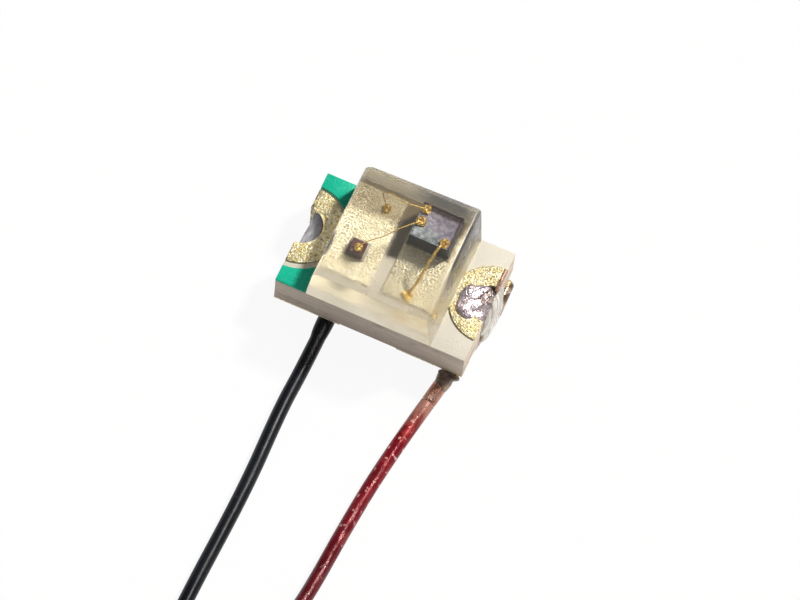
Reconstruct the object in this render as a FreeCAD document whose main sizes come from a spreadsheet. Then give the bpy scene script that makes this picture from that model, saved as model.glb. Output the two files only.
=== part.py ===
"""Chip LED on a plated laminate board, with a driver chip and two soldered enamelled wires.

Frame: millimetres, +Z up. The origin lies under the middle of the package on the surface that it
rests on. +X runs along the board to its anode end, and the wires leave towards -Y.
"""

import FreeCAD, Part
import Sketcher
import math
import os

from FreeCAD import Vector

SIZES = {
    # board and its foil
    "board_width": 1.25,
    "board_thickness": 0.38,
    "foil_thickness": 0.02,
    "cathode_flange": 0.32,
    "anode_flange": 0.36,
    # half-round plated notches
    "notch_radius": 0.22,
    "notch_offset": 0.025,
    "plating_thickness": 0.02,
    "ring_radius": 0.41,
    "terminal_length": 0.70,
    # printed films
    "film_thickness": 0.03,
    "film_opening": 0.455,
    "film_opening_offset": -0.02,
    "mark_length": 0.22,
    "mark_width": 0.80,
    # dies, along X from the lens's left end to its right end
    "led_margin": 0.22,
    "led_size": 0.17,
    "led_inset": 0.16,
    "pad_gap": 0.13,
    "chip_margin": 0.03,
    "chip_length": 0.42,
    "chip_inset": 0.19,
    # dies, across and upwards
    "led_offset": -0.065,
    "led_height": 0.12,
    "chip_depth": 0.37,
    "chip_back": 0.06,
    "chip_height": 0.30,
    "glue_thickness": 0.02,
    "pad_back": 0.05,
    "pad_front": 0.26,
    # gold bonds
    "bond_diameter": 0.03,
    "ball_radius": 0.045,
    "ball_height": 0.035,
    "bump_corner": 0.06,
    "loop_rise": 0.09,
    "loop_shoulder": 0.05,
    "ground_ball_inset": 0.14,
    "ground_lean": 0.09,
    "stitch_length": 0.08,
    "stitch_run": 0.25,
    "stitch_inset": 0.07,
    # lens
    "lens_cover": 0.055,
    "lens_draft": 0.06,
    "lens_edge": 0.045,
    # enamelled wires, soldered under the board
    "wire_diameter": 0.15,
    "wire_length": 200.0,
    "joint_film": 0.02,
    "joint_lift": 0.05,
    "joint_top": 0.28,
    "joint_foot": 0.22,
    "joint_inset": 0.03,
    "black_tail_inset": 0.555,
    "black_tail_setback": 0.285,
    "black_tail_cover": 0.165,
    "red_tail_inset": 0.035,
    "red_tail_setback": 0.085,
    "red_tail_reach": 0.355,
    "red_tail_angle": 9.75,
    "cap_radius": 0.33,
    "cap_thickness": 0.03,
    "cap_offset": -0.05,
    "bulge_depth": 0.11,
    "bulge_neck": 0.037,
    "bulge_offset": -0.08,
    "meniscus_radius": 0.42,
    "meniscus_rise": 0.16,
    # the wires' unseen length, wound up
    "coil_x": 1.36,
    "coil_y": -5.95,
    "coil_mean_diameter": 2.6,
    "coil_width": 1.2,
    "coil_layer_height": 0.45,
    "coil_corner": 0.10,
    "tie_width": 0.36,
    "tie_thickness": 0.04,
    "tip_length": 1.1,
}

# Routes of the wires' axes, chosen by hand: x, y and height above the surface
BLACK_ROUTE = [
    (-0.445, -0.46, 0.075),
    (-0.445, -1.15, 0.075),
    (-0.470, -1.62, 0.075),
    (-0.432, -2.55, 0.075),
    (-0.484, -3.90, 0.075),
    (-0.450, -4.75, 0.075),
    (-0.455, -5.50, 0.075),
]
RED_ROUTE = [
    (0.7966, -0.98, 0.075),
    (0.6798, -1.66, 0.075),
    (0.6030, -2.45, 0.077),
    (0.5560, -3.35, 0.090),
    (0.4700, -3.95, 0.290),
    (0.2650, -4.45, 0.540),
    (-0.0600, -4.86, 0.560),
]

# Where each bond wire bends, as shares of the way between its ends
LED_LOOP = (0.06, 0.45, 0.86)
GROUND_LOOP = (0.45, 0.85)
SUPPLY_LOOP = (0.08, 0.40, 0.84)
# The share of a run that the arc at its end takes up, and of a ball's height that is rounded
ARC_SHARE = 0.45
BALL_ROUNDING = 0.4
# How near two places count as one, in mm
SAME_PLACE = 1e-6

doc = FreeCAD.newDocument("chip_led")
sheet = doc.addObject("Spreadsheet::Sheet", "Sizes")
for row, (alias, number) in enumerate(SIZES.items(), start=1):
    sheet.set("A%d" % row, alias)
    sheet.set("B%d" % row, str(number))
    sheet.setAlias("B%d" % row, alias)
doc.recompute()


def size(alias):
    """The number that a cell of the sheet holds."""
    return float(sheet.get(alias))


def term(alias):
    """The name under which an expression reads a cell."""
    return "Sizes." + alias


def total(*terms):
    """An expression that adds up terms, each an alias or another expression."""
    return "(" + " + ".join(term(t) if t in SIZES else t for t in terms) + ")"


def value(expression):
    """The number that an expression gives with the sheet's present cells."""
    for alias in sorted(SIZES, key=len, reverse=True):
        expression = expression.replace("Sizes." + alias, repr(size(alias)))
    return float(FreeCAD.Units.parseQuantity(expression).Value)


# Heights, as expressions of the sheet
WIRE_AXIS = "(Sizes.wire_diameter / 2)"
TERMINAL_Z = total("wire_diameter", "joint_film")
BOARD_Z = total(TERMINAL_Z, "foil_thickness")
TOP_Z = total(BOARD_Z, "board_thickness")
FOIL_TOP = total(TOP_Z, "foil_thickness")
GLUE_TOP = total(FOIL_TOP, "glue_thickness")
LED_TOP = total(GLUE_TOP, "led_height")
CHIP_TOP = total(GLUE_TOP, "chip_height")
LOOP_TOP = total(CHIP_TOP, "ball_height", "loop_rise")
LENS_TOP = total(LOOP_TOP, "bond_diameter", "lens_cover")
CAP_TOP = total(FOIL_TOP, "cap_thickness")
COILS_TOP = "(2 * Sizes.coil_layer_height)"

# Places along X and Y
LENS_LENGTH = total("led_margin", "led_size", "led_inset", "pad_gap", "chip_margin", "chip_length",
                    "chip_inset")
BOARD_LENGTH = total("cathode_flange", LENS_LENGTH, "anode_flange")
CATHODE_END = "(-%s / 2)" % BOARD_LENGTH
ANODE_END = "(%s / 2)" % BOARD_LENGTH
LENS_LEFT = total(CATHODE_END, "cathode_flange")
LENS_RIGHT = "(%s - Sizes.anode_flange)" % ANODE_END
LED_X = "(%s + Sizes.led_margin + Sizes.led_size / 2)" % LENS_LEFT
CATHODE_PAD_END = "(%s + Sizes.led_size / 2 + Sizes.led_inset)" % LED_X
ANODE_PAD_END = total(CATHODE_PAD_END, "pad_gap")
CHIP_LEFT = total(ANODE_PAD_END, "chip_margin")
BACK = "(Sizes.board_width / 2)"
FRONT = "(-Sizes.board_width / 2)"
CHIP_FRONT = "(%s - Sizes.chip_back - Sizes.chip_depth)" % BACK
PAD_FRONT = "(%s + Sizes.pad_front)" % FRONT
BLACK_X = total(CATHODE_END, "black_tail_inset")
BLACK_BACK = "(%s - Sizes.black_tail_setback)" % BACK
BLACK_FRONT = "(%s + Sizes.black_tail_cover)" % FRONT
RED_X = "(%s - Sizes.red_tail_inset)" % ANODE_END
RED_BACK = "(%s - Sizes.red_tail_setback)" % BACK
RED_FRONT = "(%s - Sizes.red_tail_reach)" % FRONT
NOTCH_HOLE = "(Sizes.notch_radius - Sizes.plating_thickness)"
PLATED_HEIGHT = "(Sizes.board_thickness + 2 * Sizes.foil_thickness)"
COIL_OUTER = "(Sizes.coil_mean_diameter / 2 + Sizes.coil_width / 2)"
COIL_INNER = "(Sizes.coil_mean_diameter / 2 - Sizes.coil_width / 2)"


def bind(thing, **properties):
    """Bind properties of an object to expressions; a double underscore stands for a dot."""
    for name, expression in properties.items():
        thing.setExpression(name.replace("__", "."), expression)
    return thing


def put(thing, x, y, z):
    """Bind an object's place."""
    return bind(thing, Placement__Base__x=x, Placement__Base__y=y, Placement__Base__z=z)


def box(name, x, y, z, length, width, height):
    thing = doc.addObject("Part::Box", name)
    bind(thing, Length=length, Width=width, Height=height)
    return put(thing, x, y, z)


def cylinder(name, x, y, z, radius, height):
    thing = doc.addObject("Part::Cylinder", name)
    bind(thing, Radius=radius, Height=height)
    return put(thing, x, y, z)


def cut(name, base, tool):
    thing = doc.addObject("Part::Cut", name)
    thing.Base = base
    thing.Tool = tool
    return thing


def common(name, base, tool):
    thing = doc.addObject("Part::Common", name)
    thing.Base = base
    thing.Tool = tool
    return thing


def fuse(name, shapes):
    thing = doc.addObject("Part::MultiFuse", name)
    thing.Shapes = shapes
    thing.Refine = True
    return thing


def origin_plane(body, role):
    """A body's own origin plane, found by its role."""
    return next(feature for feature in body.Origin.OriginFeatures if feature.Role == role)


def new_body(label):
    body = doc.addObject("PartDesign::Body", label)
    body.Label = label
    return body


def new_sketch(body, name, role):
    sketch = body.newObject("Sketcher::SketchObject", name)
    sketch.AttachmentSupport = [(origin_plane(body, role), "")]
    sketch.MapMode = "FlatFace"
    return sketch


def polygon(sketch, corners):
    """A closed outline whose corners are bound to pairs of expressions."""
    spots = [Vector(value(x), value(y), 0) for x, y in corners]
    count = len(spots)
    for i in range(count):
        sketch.addGeometry(Part.LineSegment(spots[i], spots[(i + 1) % count]), False)
    for i in range(count):
        sketch.addConstraint(Sketcher.Constraint("Coincident", i, 2, (i + 1) % count, 1))
    for i, (x, y) in enumerate(corners):
        for kind, expression in (("DistanceX", x), ("DistanceY", y)):
            index = sketch.addConstraint(Sketcher.Constraint(kind, -1, 1, i, 1, value(expression)))
            sketch.setExpression("Constraints[%d]" % index, expression)


def circle(sketch, x, y, radius):
    """A circle whose centre and radius are bound to expressions."""
    middle = Vector(value(x), value(y), 0)
    ring = sketch.addGeometry(Part.Circle(middle, Vector(0, 0, 1), value(radius)), False)
    for kind, expression in (("DistanceX", x), ("DistanceY", y)):
        index = sketch.addConstraint(Sketcher.Constraint(kind, -1, 1, ring, 3, value(expression)))
        sketch.setExpression("Constraints[%d]" % index, expression)
    index = sketch.addConstraint(Sketcher.Constraint("Radius", ring, value(radius)))
    sketch.setExpression("Constraints[%d]" % index, radius)


def pad(body, sketch, name, length, symmetric=False):
    feature = body.newObject("PartDesign::Pad", name)
    feature.Profile = sketch
    feature.setExpression("Length", length)
    if symmetric:
        feature.SideType = "Symmetric"
    return feature


def round_edges(body, base, name, radius, wanted):
    """A fillet on the edges of a feature that a test picks out."""
    doc.recompute()
    names = ["Edge%d" % (i + 1) for i, edge in enumerate(base.Shape.Edges) if wanted(edge)]
    feature = body.newObject("PartDesign::Fillet", name)
    feature.Base = (base, names)
    feature.setExpression("Radius", radius)
    return feature


def label(thing, name):
    thing.Label = name
    return thing


def make_substrate():
    """Laminate board with a half-round notch in each end."""
    body = new_body("substrate")
    put(body, "0", "0", BOARD_Z)
    outline = new_sketch(body, "board_outline", "XY_Plane")
    polygon(outline, [(CATHODE_END, FRONT), (ANODE_END, FRONT), (ANODE_END, BACK), (CATHODE_END, BACK)])
    slab = pad(body, outline, "board_slab", term("board_thickness"))
    doc.recompute()
    before = slab.Shape.Volume
    notches = new_sketch(body, "notch_outline", "XY_Plane")
    for end in (CATHODE_END, ANODE_END):
        circle(notches, end, term("notch_offset"), term("notch_radius"))
    pocket = body.newObject("PartDesign::Pocket", "notches")
    pocket.Profile = notches
    pocket.Type = "ThroughAll"
    pocket.Reversed = True
    doc.recompute()
    if not pocket.Shape.Volume < before:
        raise RuntimeError("the notches cut nothing")
    return body


def notch_tool(name, end, radius, z, height):
    """The round tool that clears a notch in what lies on the board."""
    return cylinder(name, end, term("notch_offset"), z, radius, height)


def half_space(name, end):
    """A block over the board's side of an end, a board's width each way, which halves what is round there."""
    reach = term("board_width")
    x = end if end == CATHODE_END else "(%s - %s)" % (end, reach)
    return box(name, x, "(-%s)" % reach, "(-%s)" % reach, reach, "(2 * %s)" % reach, "(2 * %s)" % reach)


def make_foil(name, end, left, right):
    """Top foil: a ring round the notch, joined to the pad under the lens."""
    ring = cylinder(name + "_ring", end, term("notch_offset"), TOP_Z, term("ring_radius"),
                    term("foil_thickness"))
    clipped = common(name + "_half_ring", ring, half_space(name + "_side", end))
    length = "(%s - %s)" % (right, left)
    width = "(Sizes.board_width - Sizes.pad_back - Sizes.pad_front)"
    area = box(name + "_area", left, PAD_FRONT, TOP_Z, length, width, term("foil_thickness"))
    whole = fuse(name + "_blank", [clipped, area])
    hole = notch_tool(name + "_hole", end, term("notch_radius"), TOP_Z, term("foil_thickness"))
    return label(cut(name, whole, hole), name)


def make_terminal(name, end, left):
    """Bottom foil under one end of the board."""
    blank = box(name + "_blank", left, FRONT, TERMINAL_Z, term("terminal_length"), term("board_width"),
                term("foil_thickness"))
    hole = notch_tool(name + "_hole", end, term("notch_radius"), TERMINAL_Z, term("foil_thickness"))
    return label(cut(name, blank, hole), name)


def make_castellation(name, end):
    """Plated wall of a notch, from the terminal's face to the ring's."""
    outer = notch_tool(name + "_outer", end, term("notch_radius"), TERMINAL_Z, PLATED_HEIGHT)
    inner = notch_tool(name + "_inner", end, NOTCH_HOLE, TERMINAL_Z, PLATED_HEIGHT)
    tube = cut(name + "_tube", outer, inner)
    return label(common(name, tube, half_space(name + "_side", end)), name)


def make_film(name, front, back, foil):
    """Half of the film on the cathode end, clear of the ring and the round opening."""
    width = "(%s - %s)" % (back, front)
    blank = box(name + "_blank", CATHODE_END, front, TOP_Z, term("cathode_flange"), width,
                term("film_thickness"))
    opening = cylinder(name + "_opening", CATHODE_END, total("notch_offset", "film_opening_offset"), TOP_Z,
                       term("film_opening"), term("film_thickness"))
    open_film = cut(name + "_open", blank, opening)
    return label(cut(name, open_film, foil), name)


def make_mark():
    """Film patch on the underside between the terminals."""
    x = "(%s + %s - Sizes.mark_length) / 2" % (total(CATHODE_END, "terminal_length"),
                                               "(%s - Sizes.terminal_length)" % ANODE_END)
    z = "(%s - Sizes.foil_thickness)" % BOARD_Z
    return label(box("polarity_mark", x, "(-Sizes.mark_width / 2)", z, term("mark_length"), term("mark_width"),
                     term("foil_thickness")), "polarity_mark")


def make_die(name, x, y, length, width, height):
    """A die and the glue layer under it."""
    glue = box(name + "_die_attach", x, y, FOIL_TOP, length, width, term("glue_thickness"))
    die = box(name + "_die", x, y, GLUE_TOP, length, width, height)
    return die, glue


def ball(centre, z):
    """A squashed gold ball standing on height z."""
    radius = size("ball_radius")
    height = size("ball_height")
    drum = Part.makeCylinder(radius, height, Vector(centre[0], centre[1], z))
    rims = [edge for edge in drum.Edges if edge.Curve.TypeId == "Part::GeomCircle"]
    return drum.makeFillet(BALL_ROUNDING * height, rims)


def rounded_path(points, show=None):
    """Straight runs joined by tangent arcs, each as large as its two runs allow."""
    spots = [Vector(*point) for point in points]
    edges = []
    start = spots[0]
    for before, corner, after in zip(spots, spots[1:], spots[2:]):
        back = before - corner
        ahead = after - corner
        reach = ARC_SHARE * min(back.Length, ahead.Length)
        half_turn = (math.pi - back.getAngle(ahead)) / 2
        radius = reach / math.tan(half_turn)
        back.normalize()
        ahead.normalize()
        entry = corner + back * reach
        leave = corner + ahead * reach
        middle_way = back + ahead
        middle_way.normalize()
        centre = corner + middle_way * (radius / math.cos(half_turn))
        middle = centre - middle_way * radius
        edges.append(Part.LineSegment(start, entry).toShape())
        edges.append(Part.Arc(entry, middle, leave).toShape())
        start = leave
        if show:
            print("%s: arc radius %.2f mm" % (show, radius))
    edges.append(Part.LineSegment(start, spots[-1]).toShape())
    return Part.Wire(edges)


def round_bar(path, diameter):
    """A round solid along a path."""
    first = path.Edges[0]
    start = first.valueAt(first.FirstParameter)
    way = first.tangentAt(first.FirstParameter)
    section = Part.Wire([Part.makeCircle(diameter / 2, start, way)])
    return path.makePipeShell([section], True, True)


def code_part(name, shape):
    thing = doc.addObject("Part::Feature", name)
    thing.Shape = shape
    return label(thing, name)


def between(start, end, share, z):
    """A point part of the way from one plan place to another, at height z."""
    x = start[0] + share * (end[0] - start[0])
    y = start[1] + share * (end[1] - start[1])
    return (x, y, z)


def make_bonds():
    """Gold bumps on the chip and the three bond wires, each one piece with its ball."""
    corner = size("bump_corner")
    radius = size("bond_diameter") / 2
    rise = size("ball_height")
    shoulder = size("loop_shoulder")
    left = value(CHIP_LEFT)
    front = value(CHIP_FRONT)
    back = front + size("chip_depth")
    chip_top = value(CHIP_TOP)
    bump_top = chip_top + rise
    loop = value(LOOP_TOP)
    foil = value(FOIL_TOP)
    led = (value(LED_X), size("led_offset"))
    led_bump = (left + corner, (front + back) / 2)
    ground_bump = (left + corner, back - corner)
    supply_ball = (left + size("chip_length") - corner, front + corner)
    ground_ball = (led[0] + size("led_size") / 2, back - size("ground_ball_inset"))
    stitch = (value(ANODE_PAD_END) + size("stitch_run"), value(PAD_FRONT) + size("stitch_inset"))

    bumps = [code_part("chip_bump_led", ball(led_bump, chip_top)),
             code_part("chip_bump_ground", ball(ground_bump, chip_top))]

    led_path = rounded_path([(led[0], led[1], value(LED_TOP) + rise),
                             between(led, led_bump, LED_LOOP[0], loop - shoulder),
                             between(led, led_bump, LED_LOOP[1], loop),
                             between(led, led_bump, LED_LOOP[2], bump_top + shoulder),
                             (led_bump[0], led_bump[1], bump_top + radius)])
    led_wire = ball(led, value(LED_TOP)).fuse(round_bar(led_path, 2 * radius))

    lean = (ground_ball[0] - size("ground_lean"), ground_ball[1] + size("ground_lean") / 2)
    ground_path = rounded_path([(ground_ball[0], ground_ball[1], foil + rise),
                                (lean[0], lean[1], loop - shoulder),
                                between(lean, ground_bump, GROUND_LOOP[0], loop),
                                between(lean, ground_bump, GROUND_LOOP[1], bump_top + shoulder),
                                (ground_bump[0], ground_bump[1], bump_top + radius)])
    ground_wire = ball(ground_ball, foil).fuse(round_bar(ground_path, 2 * radius))

    supply_path = rounded_path([(supply_ball[0], supply_ball[1], bump_top),
                                between(supply_ball, stitch, SUPPLY_LOOP[0], loop),
                                between(supply_ball, stitch, SUPPLY_LOOP[1], chip_top - radius),
                                between(supply_ball, stitch, SUPPLY_LOOP[2], foil + rise),
                                (stitch[0], stitch[1], foil + radius)])
    foot_side = size("stitch_length")
    foot = Part.makeBox(foot_side, foot_side, radius,
                        Vector(stitch[0] - foot_side / 2, stitch[1] - foot_side / 2, foil))
    supply_wire = ball(supply_ball, chip_top).fuse([round_bar(supply_path, 2 * radius), foot])

    wires = [code_part("led_bond_wire", led_wire), code_part("ground_bond_wire", ground_wire),
             code_part("supply_bond_wire", supply_wire)]
    return bumps + wires


def make_lens(inner):
    """Moulded block with drafted ends and sawn sides, fitted round everything that it covers."""
    body = new_body("lens_block")
    put(body, "0", "0", TOP_Z)
    outline = new_sketch(body, "lens_outline", "XZ_Plane")
    height = "(%s - %s)" % (LENS_TOP, TOP_Z)
    polygon(outline, [(LENS_LEFT, "0"), (LENS_RIGHT, "0"), ("(%s - Sizes.lens_draft)" % LENS_RIGHT, height),
                      ("(%s + Sizes.lens_draft)" % LENS_LEFT, height)])
    block = pad(body, outline, "lens_pad", term("board_width"), symmetric=True)
    top = value(height)

    def is_top_end(edge):
        """Whether an edge of the block is one of its top edges across the board."""
        box_of_edge = edge.BoundBox
        return box_of_edge.ZMin > top - SAME_PLACE and box_of_edge.XLength < SAME_PLACE

    round_edges(body, block, "lens_rounding", term("lens_edge"), is_top_end)
    return label(cut("epoxy_lens", body, fuse("lens_cavity", inner)), "epoxy_lens")


def turned_wedge(name, x, y, angle, length):
    """A solder joint's block: wide against the terminal, narrow below, lying along a wire."""
    thing = doc.addObject("Part::Wedge", name)
    bind(thing, Ymin="0", Ymax="(Sizes.wire_diameter + Sizes.joint_film - Sizes.joint_lift)",
         Zmin="0", Zmax=length, Z2min="0", Z2max=length,
         Xmin="(-Sizes.joint_foot / 2)", Xmax="(Sizes.joint_foot / 2)",
         X2min="(-Sizes.joint_top / 2)", X2max="(Sizes.joint_top / 2)")
    turn = FreeCAD.Rotation(Vector(0, 0, 1), angle).multiply(FreeCAD.Rotation(Vector(1, 0, 0), 90))
    thing.Placement = FreeCAD.Placement(Vector(x, y, size("joint_lift")), turn)
    return thing


def tail_bar(name, x, back, front, angle):
    """A stripped and tinned wire end under the board, seen from above at an angle to -Y."""
    length = (back - front) / math.cos(math.radians(angle))
    thing = doc.addObject("Part::Cylinder", name)
    thing.setExpression("Radius", WIRE_AXIS)
    thing.Height = length
    way = Vector(-math.sin(math.radians(angle)), -math.cos(math.radians(angle)), 0)
    start = Vector(x + back * math.tan(math.radians(angle)), back, value(WIRE_AXIS))
    thing.Placement = FreeCAD.Placement(start, FreeCAD.Rotation(Vector(0, 0, 1), way))
    return label(thing, name)


def make_cathode_solder(tail):
    """Solder round the black wire's end, and the hollow meniscus in the left notch."""
    length = "(%s - %s - 2 * Sizes.joint_inset)" % (BLACK_BACK, BLACK_FRONT)
    joint = turned_wedge("cathode_joint", value(BLACK_X), value(BLACK_BACK) - size("joint_inset"), 0, length)
    fill = notch_tool("cathode_fill", CATHODE_END, NOTCH_HOLE, TERMINAL_Z, PLATED_HEIGHT)
    half = common("cathode_half_fill", fill, half_space("cathode_fill_side", CATHODE_END))
    scoop = doc.addObject("Part::Sphere", "cathode_scoop")
    bind(scoop, Radius=term("meniscus_radius"))
    put(scoop, "(%s - Sizes.notch_radius)" % CATHODE_END, term("notch_offset"), total(TOP_Z, "meniscus_rise"))
    bridge = box("cathode_bridge", CATHODE_END, "(Sizes.notch_offset - Sizes.notch_radius / 2)",
                 "(%s - Sizes.joint_film)" % TERMINAL_Z, term("black_tail_inset"), term("notch_radius"),
                 term("joint_film"))
    blank = fuse("cathode_solder_blank", [cut("cathode_meniscus", half, scoop), bridge, joint])
    return label(cut("cathode_solder", blank, tail), "cathode_solder")


def make_anode_solder(tail):
    """Solder round the red wire's end, up the end face, through the notch and onto the ring."""
    angle = math.radians(size("red_tail_angle"))
    back = value(total("notch_offset", "notch_radius", "joint_inset"))
    front = value("(%s - Sizes.joint_inset)" % FRONT)
    length = str((back - front) / math.cos(angle))
    joint = turned_wedge("anode_joint", value(RED_X) + back * math.tan(angle), back, -math.degrees(angle),
                         length)
    under = box("anode_joint_room", "(%s - Sizes.terminal_length)" % ANODE_END, "(-Sizes.board_width)", "0",
                term("terminal_length"), "(2 * Sizes.board_width)", TERMINAL_Z)
    fill = notch_tool("anode_fill", ANODE_END, NOTCH_HOLE, TERMINAL_Z, PLATED_HEIGHT)
    cap = cylinder("anode_cap", ANODE_END, total("notch_offset", "cap_offset"), FOIL_TOP, term("cap_radius"),
                   term("cap_thickness"))
    inside = common("anode_inside", fuse("anode_fill_and_cap", [fill, cap]),
                    half_space("anode_side", ANODE_END))
    body = new_body("anode_bulge")
    outline = new_sketch(body, "bulge_outline", "XZ_Plane")
    bulge = total(ANODE_END, "bulge_depth")
    polygon(outline, [(ANODE_END, term("joint_lift")), (bulge, term("joint_lift")), (bulge, TERMINAL_Z),
                      (total(ANODE_END, "bulge_neck"), TOP_Z), (ANODE_END, CAP_TOP)])
    pad(body, outline, "bulge_pad", "(2 * Sizes.cap_radius)", symmetric=True)
    put(body, "0", total("notch_offset", "bulge_offset"), "0")
    web = box("anode_web", "(%s - Sizes.notch_radius)" % ANODE_END, "(Sizes.notch_offset - Sizes.notch_radius)",
              "(%s - Sizes.joint_film)" % TERMINAL_Z, term("notch_radius"), "(2 * Sizes.notch_radius)",
              term("joint_film"))
    blank = fuse("anode_solder_blank", [common("anode_joint_cut", joint, under), inside, body, web])
    return label(cut("anode_solder", blank, tail), "anode_solder")


def make_coil(name, level, groove):
    """The outer shape of one wire's wound length, pressed in under the tie."""
    body = new_body(name + "_ring")
    put(body, term("coil_x"), term("coil_y"), "(Sizes.coil_layer_height * %d)" % level)
    section = new_sketch(body, name + "_section", "XZ_Plane")
    height = term("coil_layer_height")
    corner = term("coil_corner")
    near = "(%s + %s)" % (COIL_INNER, corner)
    far = "(%s - %s)" % (COIL_OUTER, corner)
    upper = "(%s - %s)" % (height, corner)
    polygon(section, [(near, "0"), (far, "0"), (COIL_OUTER, corner), (COIL_OUTER, upper), (far, height),
                      (near, height), (COIL_INNER, upper), (COIL_INNER, corner)])
    ring = body.newObject("PartDesign::Revolution", name + "_turned")
    ring.Profile = section
    ring.ReferenceAxis = (section, ["V_Axis"])
    ring.Angle = 360
    return label(cut(name, body, groove), name)


def make_band(name, margin):
    """A band round both coils at their -Y side, standing out past their faces by a margin."""
    x = "(Sizes.coil_x - Sizes.tie_width / 2)"
    y = "(Sizes.coil_y - %s)" % COIL_OUTER
    wall = term("tie_thickness")
    outer = box(name + "_outer", x, "(%s - %s)" % (y, margin), "(-%s)" % margin, term("tie_width"),
                "(Sizes.coil_width + 2 * %s)" % margin, "(%s + 2 * %s)" % (COILS_TOP, margin))
    inner = box(name + "_inner", x, "(%s + %s)" % (y, wall), wall, term("tie_width"),
                "(Sizes.coil_width - 2 * %s)" % wall, "(%s - 2 * %s)" % (COILS_TOP, wall))
    return label(cut(name, outer, inner), name)


def make_wire(name, route, coil):
    """The enamelled wire from the board to where its coil begins."""
    path = rounded_path(route, show=name)
    bar = round_bar(path, size("wire_diameter"))
    expected = math.pi * size("wire_diameter") ** 2 / 4 * path.Length
    print("%s: %.2f mm uncoiled, volume %.4f against %.4f mm3" % (name, path.Length, bar.Volume, expected))
    return code_part(name, bar.cut(coil.Shape)), path.Length


def make_tip(name, x, y, z):
    """A wire's stripped free end, lying straight along +Y from its coil."""
    tip = cylinder(name, x, y, z, WIRE_AXIS, term("tip_length"))
    tip.Placement = FreeCAD.Placement(Vector(), FreeCAD.Rotation(Vector(0, 0, 1), Vector(0, 1, 0)))
    return label(tip, name)


def build():
    """Every piece of the LED, in the order in which it is put together."""
    substrate = make_substrate()
    cathode_pad = make_foil("cathode_pad", CATHODE_END, LENS_LEFT, CATHODE_PAD_END)
    anode_pad = make_foil("anode_pad", ANODE_END, ANODE_PAD_END, LENS_RIGHT)
    parts = [substrate, cathode_pad, anode_pad]
    parts.append(make_terminal("cathode_terminal", CATHODE_END, CATHODE_END))
    parts.append(make_terminal("anode_terminal", ANODE_END, "(%s - Sizes.terminal_length)" % ANODE_END))
    parts.append(make_castellation("cathode_castellation", CATHODE_END))
    parts.append(make_castellation("anode_castellation", ANODE_END))
    parts.append(make_film("solder_mask_back", term("notch_offset"), BACK, cathode_pad))
    parts.append(make_film("solder_mask_front", FRONT, term("notch_offset"), cathode_pad))
    parts.append(make_mark())

    chip, chip_glue = make_die("driver", CHIP_LEFT, CHIP_FRONT, term("chip_length"), term("chip_depth"),
                               term("chip_height"))
    led, led_glue = make_die("led", "(%s - Sizes.led_size / 2)" % LED_X,
                             "(Sizes.led_offset - Sizes.led_size / 2)", term("led_size"), term("led_size"),
                             term("led_height"))
    label(chip, "driver_chip")
    dies = [chip, chip_glue, led, led_glue]
    bonds = make_bonds()
    parts += dies + bonds
    parts.append(make_lens([cathode_pad, anode_pad] + dies + bonds))

    black_tail = tail_bar("black_wire_tail", value(BLACK_X), value(BLACK_BACK), value(BLACK_FRONT), 0)
    red_tail = tail_bar("red_wire_tail", value(RED_X), value(RED_BACK), value(RED_FRONT),
                        size("red_tail_angle"))
    parts += [black_tail, red_tail, make_cathode_solder(black_tail), make_anode_solder(red_tail)]

    groove = make_band("coil_groove", term("coil_corner"))
    black_coil = make_coil("black_wire_coil", 0, groove)
    red_coil = make_coil("red_wire_coil", 1, groove)
    doc.recompute()
    parts += [make_band("coil_tie", "0"), black_coil, red_coil]
    for name, route, coil in (("black_wire", BLACK_ROUTE, black_coil), ("red_wire", RED_ROUTE, red_coil)):
        wire, free = make_wire(name, route, coil)
        parts.append(wire)
        turn = math.pi * size("coil_mean_diameter")
        print("%s: %.1f turns wound" % (name, (size("wire_length") - free - size("tip_length")) / turn))

    parts.append(make_tip("black_wire_tip", total("coil_x", COIL_OUTER, WIRE_AXIS), term("coil_y"), WIRE_AXIS))
    parts.append(make_tip("red_wire_tip", "(Sizes.coil_x + Sizes.coil_mean_diameter / 2)",
                          "(Sizes.coil_y - Sizes.tip_length / 2)", total(COILS_TOP, WIRE_AXIS)))
    doc.recompute()
    return parts


def check(parts):
    """Stop before writing anything if a feature or a piece is not sound."""
    for thing in doc.Objects:
        if "Invalid" in thing.State or "Error" in thing.State:
            raise RuntimeError("%s did not build: %s" % (thing.Label, thing.State))
    for thing in parts:
        shape = thing.Shape
        if shape.isNull() or not shape.isValid() or not shape.Solids:
            raise RuntimeError("%s has no sound shape" % thing.Label)


def write(parts):
    os.makedirs("parts", exist_ok=True)
    for thing in parts:
        thing.Shape.exportStep(os.path.join("parts", thing.Label + ".step"))


pieces = build()
check(pieces)
write(pieces)
print("%d pieces written" % len(pieces))
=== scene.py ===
"""Looks of a clear chip LED with two soldered wires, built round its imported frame.

Mesh pieces are modelled in millimetres and brought to metres when they are seated. Wires are curves
in metres. Colours are written as they look on a screen and turned to linear ones by screen().
"""

import bpy
import math
from bpy.props import FloatProperty, FloatVectorProperty, PointerProperty
from bpy.types import Operator, Panel, PropertyGroup
from mathutils import Matrix, Vector, noise


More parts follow.
